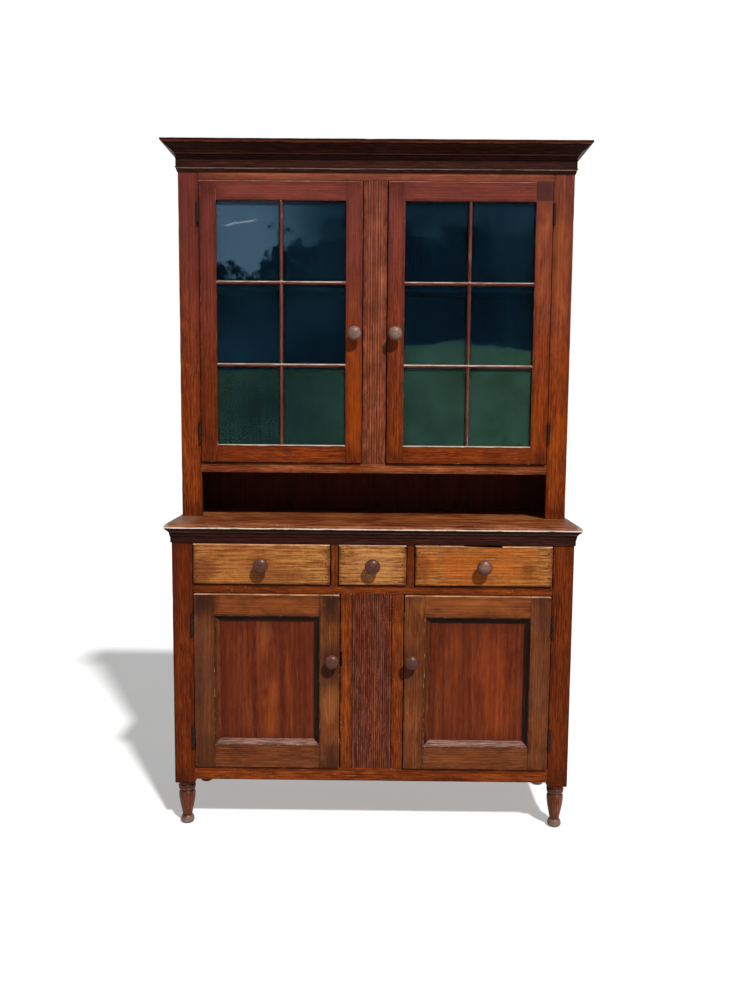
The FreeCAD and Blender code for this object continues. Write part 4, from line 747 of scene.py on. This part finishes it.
# drawer fronts: rounded edges rubbed uneven; a sliver is gone from the top of the right one
drawerEdge = {"ease": 0, "step": 9 * mm, "reach": 8 * mm, "rub": 0.8 * mm, "chip": 1.8 * mm, "often": 34,
              "from": 0.25}
sliver = {"from": 267 * mm, "to": 380 * mm, "depths": (1.6 * mm, 5.6 * mm), "cuts": 14}
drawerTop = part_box("right_drawer_front")[1].z


def splitTop(place):
    # a sliver gone from the top edge, deeper towards its end
    t = (place.x - sliver["from"]) / (sliver["to"] - sliver["from"])
    if 0 <= t <= 1.0001:
        ragged = 0.5 * mm * noise.noise(Vector((place.x * 90, 0.7, 3.0)))
        depth = sliver["depths"][0] + (sliver["depths"][1] - sliver["depths"][0]) * t + ragged
        place.z = min(place.z, drawerTop - depth)
    return place


splitCuts = [(0, sliver["from"] + (sliver["to"] - sliver["from"]) * i / sliver["cuts"])
             for i in range(sliver["cuts"] + 1)] + [(0, sliver["to"] + 0.4 * mm)]
for side in ("left", "middle", "right"):
    dress(side + "_drawer_front", drawerWood, drawerEdge,
          shape=(splitCuts, splitTop) if side == "right" else None)

print("turnings")
footTop = 131 * mm           # turned feet under the posts
footProfile = smoothProfile([
    (12, 0), (15, 0.6), (19.2, 3.8), (20.6, 9), (20.2, 14), (18.2, 19.5), (15.0, 24), (14.8, 24.6), (14.8, 24.6),
    (14.9, 28), (16.2, 36), (18.8, 49), (21.9, 65), (24.2, 82), (24.8, 93), (24.0, 100), (21.8, 104), (21.8, 104),
    (21.8, 106.8), (23.6, 107.8), (23.6, 107.8), (25.2, 110.2), (25.4, 112.6), (24.6, 114.4), (24.6, 114.4),
    (25.6, 116.4), (26, 119), (25.0, 121.8), (23.4, 123.4), (23.4, 123.4), (25, 127), (25, 131.6)])
shoulder = {"high": 7 * mm, "in": 4 * mm}       # the square post is eased off above the turning
shoulderCuts = [(2, footTop + shoulder["high"] * k / 3) for k in (1, 2, 3)]


def easeShoulder(centre, place):
    share = max(0.0, 1 - (place.z - footTop) / shoulder["high"]) ** 2
    for axis in (0, 1):
        place[axis] -= math.copysign(shoulder["in"] * share, place[axis] - centre[axis])
    return place


for node in ("front_post_left", "front_post_right", "rear_posts"):
    chunks, finishes = [], []
    for i, solid in enumerate(solidsOf(node)):
        centre, half = measure([c for c in solid[0] if c[2] < footTop - 2 * mm])
        seed = seedOf(node) + 31 * i
        chunks += [agedBoard(solid, dict(plainEdge, ease=1.6 * mm), seed, cutAt=(2, footTop, -1),
                             shape=(shoulderCuts, partial(easeShoulder, centre))),
                   turnedChunk(footProfile, (centre[0], centre[1], 0.0), "z", seed + 7)]
        finishes += [lowerPostWood, footWood]
    replaceNode(node, chunks, finishes, smooth=24)

knobDepth, drawerKnobRadius, doorKnobRadius = 36 * mm, 22.5, 21


def knobProfile(r):
    # mushroom knob: flared seat, thin neck, full rim and a low crown; height is the distance from the surface
    return smoothProfile([(a, -h) for a, h in (
        (10.6, 0), (10.2, 1.2), (9.0, 5.5), (8.8, 9.5), (10.4, 13.2), (14.6, 16.6), (r - 3.0, 18.8),
        (r - 0.7, 21.0), (r, 23.4), (r - 0.5, 25.8), (r * 0.88, 29.2), (r * 0.68, 32.3), (r * 0.42, 34.7),
        (r * 0.16, 35.8), (0.4, 36))])


for side in ("left", "middle", "right"):
    node = side + "_drawer_knob"
    low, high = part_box(node)
    seat = Vector(((low.x + high.x) / 2, high.y, (low.z + high.z) / 2))
    replaceNode(node, [turnedChunk(knobProfile(drawerKnobRadius), seat, "y", seedOf(node))], knobWood, smooth=40)
for door in ("lower_left", "lower_right", "upper_left", "upper_right"):
    node = door + "_door_knob"
    solids = solidsOf(node)
    knob = min(solids, key=lambda solid: min(c[1] for c in solid[0]))
    crown = min(c[1] for c in knob[0])
    seatY = crown + knobDepth
    centre, half = measure([c for c in knob[0] if c[1] < crown + 10 * mm])
    seat = Vector((centre[0], seatY, centre[2]))
    chunks = [agedBoard(knob, {"ease": 0}, seedOf(node), along=1, cutAt=(1, seatY, -1)),   # the shaft behind it
              turnedChunk(knobProfile(doorKnobRadius), seat, "y", seedOf(node) + 3)]
    chunks += [agedBoard(solid, {"ease": 1.0 * mm}, seedOf(node) + 9) for solid in solids if solid is not knob]
    replaceNode(node, chunks, paleKnobWood if door.startswith("upper") else knobWood, smooth=40)

print("reeds")


def newTree(name, inputs, onPoints=False):
    # a geometry tree with its named inputs, and a short way to add nodes to it
    tree = bpy.data.node_groups.new(name, "GeometryNodeTree")
    tree.interface.new_socket("Geometry", in_out="OUTPUT", socket_type="NodeSocketGeometry")
    if onPoints:
        tree.interface.new_socket("Geometry", in_out="INPUT", socket_type="NodeSocketGeometry")
    for label, kind, value in inputs:
        socket = tree.interface.new_socket(label, in_out="INPUT", socket_type="NodeSocket" + kind)
        socket.default_value = value
    tree.interface.new_socket("Finish", in_out="INPUT", socket_type="NodeSocketMaterial")
    add = partial(addNode, tree)
    return tree, add, add("GroupInput").outputs


def buildReedTree():
    # a row of upright reeds that wander a little, as if worked by hand with a beading plane
    tree, add, given = newTree("reedRow", (
        ("Reeds", "Int", 6), ("Pitch", "Float", 0.0065), ("Length", "Float", 0.5), ("Depth", "Float", 0.002),
        ("Wander", "Float", 0.0004), ("Seed", "Int", 3)))
    line = add("CurvePrimitiveLine", {"End": add("CombineXYZ", {"Z": given["Length"]})})
    cuts = add("ResampleCurve", {"Curve": line, "Count": 56})
    ring = add("CurvePrimitiveCircle", {"Resolution": 14, "Radius": 1.0})
    tube = add("CurveToMesh", {"Curve": cuts, "Profile Curve": ring, "Fill Caps": True})
    wide = add("Math MULTIPLY", given["Pitch"], 0.49)
    reed = add("Transform", {"Geometry": tube, "Scale": add("CombineXYZ", wide, given["Depth"], 1.0)})
    start = add("Math SUBTRACT", given["Reeds"], 1.0)
    start = add("Math MULTIPLY", start, given["Pitch"])
    start = add("Math MULTIPLY", start, -0.5)
    row = add("MeshLine", {"Count": given["Reeds"], "Start Location": add("CombineXYZ", start),
                                       "Offset": add("CombineXYZ", given["Pitch"])})
    uneven = add("RandomValue", {0: (0.9, 0.78, 1.0), 1: (1.05, 1.0, 1.0), "Seed": given["Seed"]},
                 data_type="FLOAT_VECTOR")
    reeds = add("InstanceOnPoints", {"Points": row, "Instance": reed, "Scale": uneven})
    whole = add("RealizeInstances", reeds)
    drawn = add("VectorMath MULTIPLY", add("InputPosition"), (150, 1, 11))
    wave = add("TexNoise", {"Vector": drawn, "Scale": 1.0, "Detail": 2.0}).outputs["Color"]
    wave = add("VectorMath SUBTRACT", wave, (0.5, 0.5, 0.5))
    move = add("VectorMath MULTIPLY", wave, add("CombineXYZ", given["Wander"], 0.0, 0.0))
    bent = add("SetPosition", {"Geometry": whole, "Offset": move})
    add("GroupOutput", add("SetMaterial", {"Geometry": bent, "Material": given["Finish"]}))
    return tree


def runTree(tree, values, source=None):
    # evaluates a tree on a small object and returns the plain mesh
    maker = newObject("maker", source or bpy.data.meshes.new("start"))
    modifier = maker.modifiers.new("build", "NODES")
    modifier.node_group = tree
    for item in tree.interface.items_tree:
        if item.item_type == "SOCKET" and item.in_out == "INPUT" and item.name in values:
            modifier[item.identifier] = values[item.name]
    bpy.context.view_layer.update()
    view = bpy.context.evaluated_depsgraph_get()
    result = bpy.data.meshes.new_from_object(maker.evaluated_get(view), depsgraph=view)
    bpy.data.objects.remove(maker)
    return result


def splitReeds(mesh, count, seed):
    # the reeds come one after another with as many corners each, and every one gets its own grain
    size = len(mesh.vertices) // count
    faces = [[] for i in range(count)]
    for polygon in mesh.polygons:
        faces[polygon.vertices[0] // size].append([i % size for i in polygon.vertices])
    return [toChunk([tuple(v.co) for v in mesh.vertices[i * size:(i + 1) * size]], faces[i], seed + i, along=2)
            for i in range(count)]


reedTree = buildReedTree()
reedRows = {
    "reeded_panel": {"Reeds": 18, "half": 57.5 * mm, "Depth": 2.1 * mm, "Wander": 0.9 * mm, "Seed": 11,
                     "Finish": reedWood},
    "reeded_stile": {"Reeds": 6, "half": 23 * mm, "Depth": 2.3 * mm, "Wander": 0.5 * mm, "Seed": 5,
                     "Finish": upperReedWood},
}
for node, look in reedRows.items():
    low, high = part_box(node)
    root = low.y + look["Depth"]
    back = [(x, y, z) for z in (low.z, high.z)
            for x, y in ((low.x, root), (high.x, root), (high.x, high.y), (low.x, high.y))]
    sides = [[0, 1, 5, 4], [1, 2, 6, 5], [2, 3, 7, 6], [3, 0, 4, 7], [3, 2, 1, 0], [4, 5, 6, 7]]
    ground = agedBoard((back, sides), dict(plainEdge, ease=0.5 * mm), seedOf(node))
    mesh = runTree(reedTree, dict(look, Pitch=2 * look["half"] / look["Reeds"], Length=high.z - low.z - 0.6 * mm))
    mesh.transform(Matrix.Translation(((low.x + high.x) / 2, root, low.z + 0.3 * mm)))
    replaceNode(node, [ground] + splitReeds(mesh, look["Reeds"], seedOf(node)), look["Finish"], smooth=40)

print("nails and screws")


def buildHeadTree(name, slotted):
    # heads of nails or slotted screws on the points it is given, facing out of the surface
    tree, add, given = newTree(name, (("Radius", "Float", 0.003), ("Proud", "Float", 0.0004), ("Seed", "Int", 3),
                                      ("Facing", "Vector", (0, 0, 0))), onPoints=True)
    radius, proud = given["Radius"], given["Proud"]
    if slotted:
        thick = add("Math MULTIPLY", proud, 3.0)
        disc = add("MeshCone", {"Vertices": 18, "Radius Top": add("Math MULTIPLY", radius, 0.86),
                                            "Radius Bottom": radius, "Depth": thick})
        size = add("CombineXYZ", add("Math MULTIPLY", radius, 2.4), add("Math MULTIPLY", radius, 0.26), thick)
        bar = add("MeshCube", {"Size": size})
        bar = add("Transform", {"Geometry": bar, "Translation": add("CombineXYZ", {"Z": thick})})
        head = add("MeshBoolean DIFFERENCE", disc, bar)
        sink = add("CombineXYZ", {"Z": add("Math MULTIPLY", proud, -2.0)})
        head = add("Transform", {"Geometry": head, "Translation": sink})
    else:
        ball = add("MeshUVSphere", {"Segments": 12, "Rings": 6, "Radius": 1.0})
        head = add("Transform", {"Geometry": ball, "Scale": add("CombineXYZ", radius, radius, proud)})
    spin = add("RandomValue", {2: 0.0, 3: 6.28, "Seed": given["Seed"]}, data_type="FLOAT")
    spin = add("EulerToRotation", add("CombineXYZ", {"Z": spin}))
    facing = add("EulerToRotation", given["Facing"])
    facing = add("RotateRotation", facing, spin, rotation_space="LOCAL")
    heads = add("InstanceOnPoints", {"Points": given["Geometry"], "Instance": head,
                                                 "Rotation": facing})
    whole = add("RealizeInstances", heads)
    add("GroupOutput", add("SetMaterial", {"Geometry": whole, "Material": given["Finish"]}))
    return tree


def fasten(name, body, tree, look, groups):
    # groups is a list of (points, which way they face)
    chunks = []
    for number, (points, facing) in enumerate(groups):
        start = bpy.data.meshes.new("points")
        start.from_pydata(points, [], [])
        seed = seedOf(name) + number
        mesh = runTree(tree, {"Radius": look["radius"], "Proud": look["proud"], "Seed": seed, "Facing": facing,
                              "Finish": ironRust}, start)
        corners, faces = [tuple(v.co) for v in mesh.vertices], [list(f.vertices) for f in mesh.polygons]
        chunks.append(toChunk(corners, faces, seed))
    makePiece(name, body, chunks, ironRust, smooth=35)


nailHeads, screwHeads = buildHeadTree("nailHeads", False), buildHeadTree("screwHeads", True)
frontNails = {"radius": 2.2 * mm, "proud": 0.5 * mm, "fromEnd": 13 * mm, "rows": (0.2, 0.52, 0.83)}
for side in ("left", "middle", "right"):
    low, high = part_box(side + "_drawer_front")
    points = []
    for end, x in enumerate((low.x + frontNails["fromEnd"], high.x - frontNails["fromEnd"])):
        for row, share in enumerate(frontNails["rows"]):
            wobble = 2 * mm * noise.noise(Vector((x * 40, row * 3.3, end)))
            points.append((x + wobble, low.y, low.z + share * (high.z - low.z) + wobble))
    fasten(side + "DrawerNails", side + "_drawer", nailHeads, frontNails, [(points, (math.pi / 2, 0, 0))])

hingeScrews = {"radius": 3.1 * mm, "proud": 0.35 * mm, "fromBack": 6 * mm, "apart": 21 * mm,
               "stagger": 1.6 * mm, "casePlate": 1.5 * mm, "doorPlate": 3.5 * mm}      # plates beside the pin
for node in frame["nodes"]:
    if "hinge_leaves" in node:
        onCase = node.startswith("case")
        groups = []
        for corners, faces in solidsOf(node):
            centre, half = measure(corners)
            side = math.copysign(1, centre[0])
            face = centre[0] - side * hingeScrews["casePlate" if onCase else "doorPlate"]
            back = centre[1] + half[1] - hingeScrews["fromBack"]
            points = [(face, back + hingeScrews["stagger"] * (1 if k else -1),
                       centre[2] + k * hingeScrews["apart"]) for k in (-1, 0, 1)]
            groups.append((points, (0, math.copysign(math.pi / 2, -side if onCase else side), 0)))
        fasten(camel(node).replace("HingeLeaves", "HingeScrews"), bodyOf[node], screwHeads, hingeScrews, groups)

# putty behind the panes, a sloped fillet from the glass up to the back of the bars
putty = {"reach": 6 * mm, "gap": 0.2 * mm, "below": 0.4 * mm}
for side in ("left", "right"):
    door = "upper_" + side + "_door"
    back = min(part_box(door + "_frame")[1].y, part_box(door + "_muntins")[1].y) - putty["below"]
    chunks = []
    for number, (corners, faces) in enumerate(solidsOf(door + "_panes")):
        centre, half = measure(corners)
        glass = centre[1] + half[1]
        corners = [(centre[0] + a * (half[0] - gap), y, centre[2] + b * (half[2] - gap))
                   for gap, y in ((putty["gap"], glass), (putty["reach"], glass), (putty["gap"], back))
                   for a, b in ((-1, -1), (1, -1), (1, 1), (-1, 1))]
        faces = [[4 * r + k, 4 * r + (k + 1) % 4, 4 * q + (k + 1) % 4, 4 * q + k]
                 for r, q in ((0, 1), (1, 2), (2, 0)) for k in range(4)]
        chunks.append(toChunk(corners, faces, number))
    makePiece(camel(door) + "Putty", door, chunks, greyPutty)

print("iron and glass")
for node, solid in frame["nodes"].items():        # iron and glass keep their CAD shape
    if "hinge_leaves" in node:
        solid.material_slots[0].material = ironRust
    if "panes" in node:
        solid.material_slots[0].material = windowGlass

print("stage")
studio = {                   # a soft edged sun, upper right front
    "reach": 14.0, "floor": [(0.3, "#c4c4c3"), (0.7, "#c9c9c8")], "lift": 0.36, "fill": 0.16, "sun": 4.8,
    "sunSize": 3.5, "toSun": (0.30, -0.60, 0.76)}
view = {"lens": 44.69, "place": (0.0236, -2.8683, 1.2923), "pitch": 6.16, "yaw": -0.38, "roll": 0.47}


def seenShare(add):
    # 1 where a surface is seen straight, in a gloss or through glass, and 0 where it only gives light
    path = add("LightPath").outputs
    seen = add("Math MAXIMUM", path["Is Camera Ray"], path["Is Glossy Ray"])
    return add("Math MAXIMUM", seen, path["Is Transmission Ray"])


def buildStage():
    reach = studio["reach"]
    floorMesh = bpy.data.meshes.new("floor")
    floorMesh.from_pydata([(-reach, -reach, 0), (reach, -reach, 0), (reach, reach, 0), (-reach, reach, 0)], [],
                          [(0, 1, 2, 3)])
    floor = newObject("floor", floorMesh)
    material, add = newMaterial("floorPaleMatt")
    dust = add("TexNoise", {"Vector": add("TexCoord").outputs["Object"], "Scale": 3.0, "Detail": 3.0})
    tone = add("ValToRGB", dust, stops=studio["floor"])
    shader = add("BsdfPrincipled", {"Base Color": tone, "Roughness": 0.9, "Specular IOR Level": 0.1})
    lift = add("Math MULTIPLY", seenShare(add), studio["lift"])      # a pale background that keeps its shadow
    white = add("Emission", {"Color": (1, 1, 1, 1), "Strength": lift})
    add("OutputMaterial", {"Surface": add("AddShader", shader, white)})
    floorMesh.materials.append(material)

    world = bpy.data.worlds.new("studio")
    bpy.context.scene.world = world
    world.use_nodes = True
    world.node_tree.nodes.clear()
    add = partial(addNode, world.node_tree)
    strength = add("MapRange", seenShare(add), 0.0, 1.0, studio["fill"], 1.0)
    light = add("Background", {"Color": (1, 1, 1, 1), "Strength": strength})
    add("OutputWorld", {"Surface": light})

    lamp = bpy.data.lights.new("key", "SUN")
    lamp.energy, lamp.angle = studio["sun"], math.radians(studio["sunSize"])
    newObject("key", lamp).rotation_euler = Vector(studio["toSun"]).to_track_quat("Z", "Y").to_euler()

    lens = bpy.data.cameras.new("camera")
    lens.sensor_fit, lens.sensor_width, lens.lens = "HORIZONTAL", 36.0, view["lens"]
    camera = newObject("camera", lens)
    camera.location = view["place"]
    pitch, yaw, roll = (math.radians(view[turn]) for turn in ("pitch", "yaw", "roll"))
    camera.rotation_euler = (Matrix.Rotation(-yaw, 4, "Z") @ Matrix.Rotation(math.pi / 2 - pitch, 4, "X")
                             @ Matrix.Rotation(roll, 4, "Z")).to_euler()
    bpy.context.scene.camera = camera
    bpy.context.scene.view_settings.view_transform = "Standard"


buildStage()
print("done")
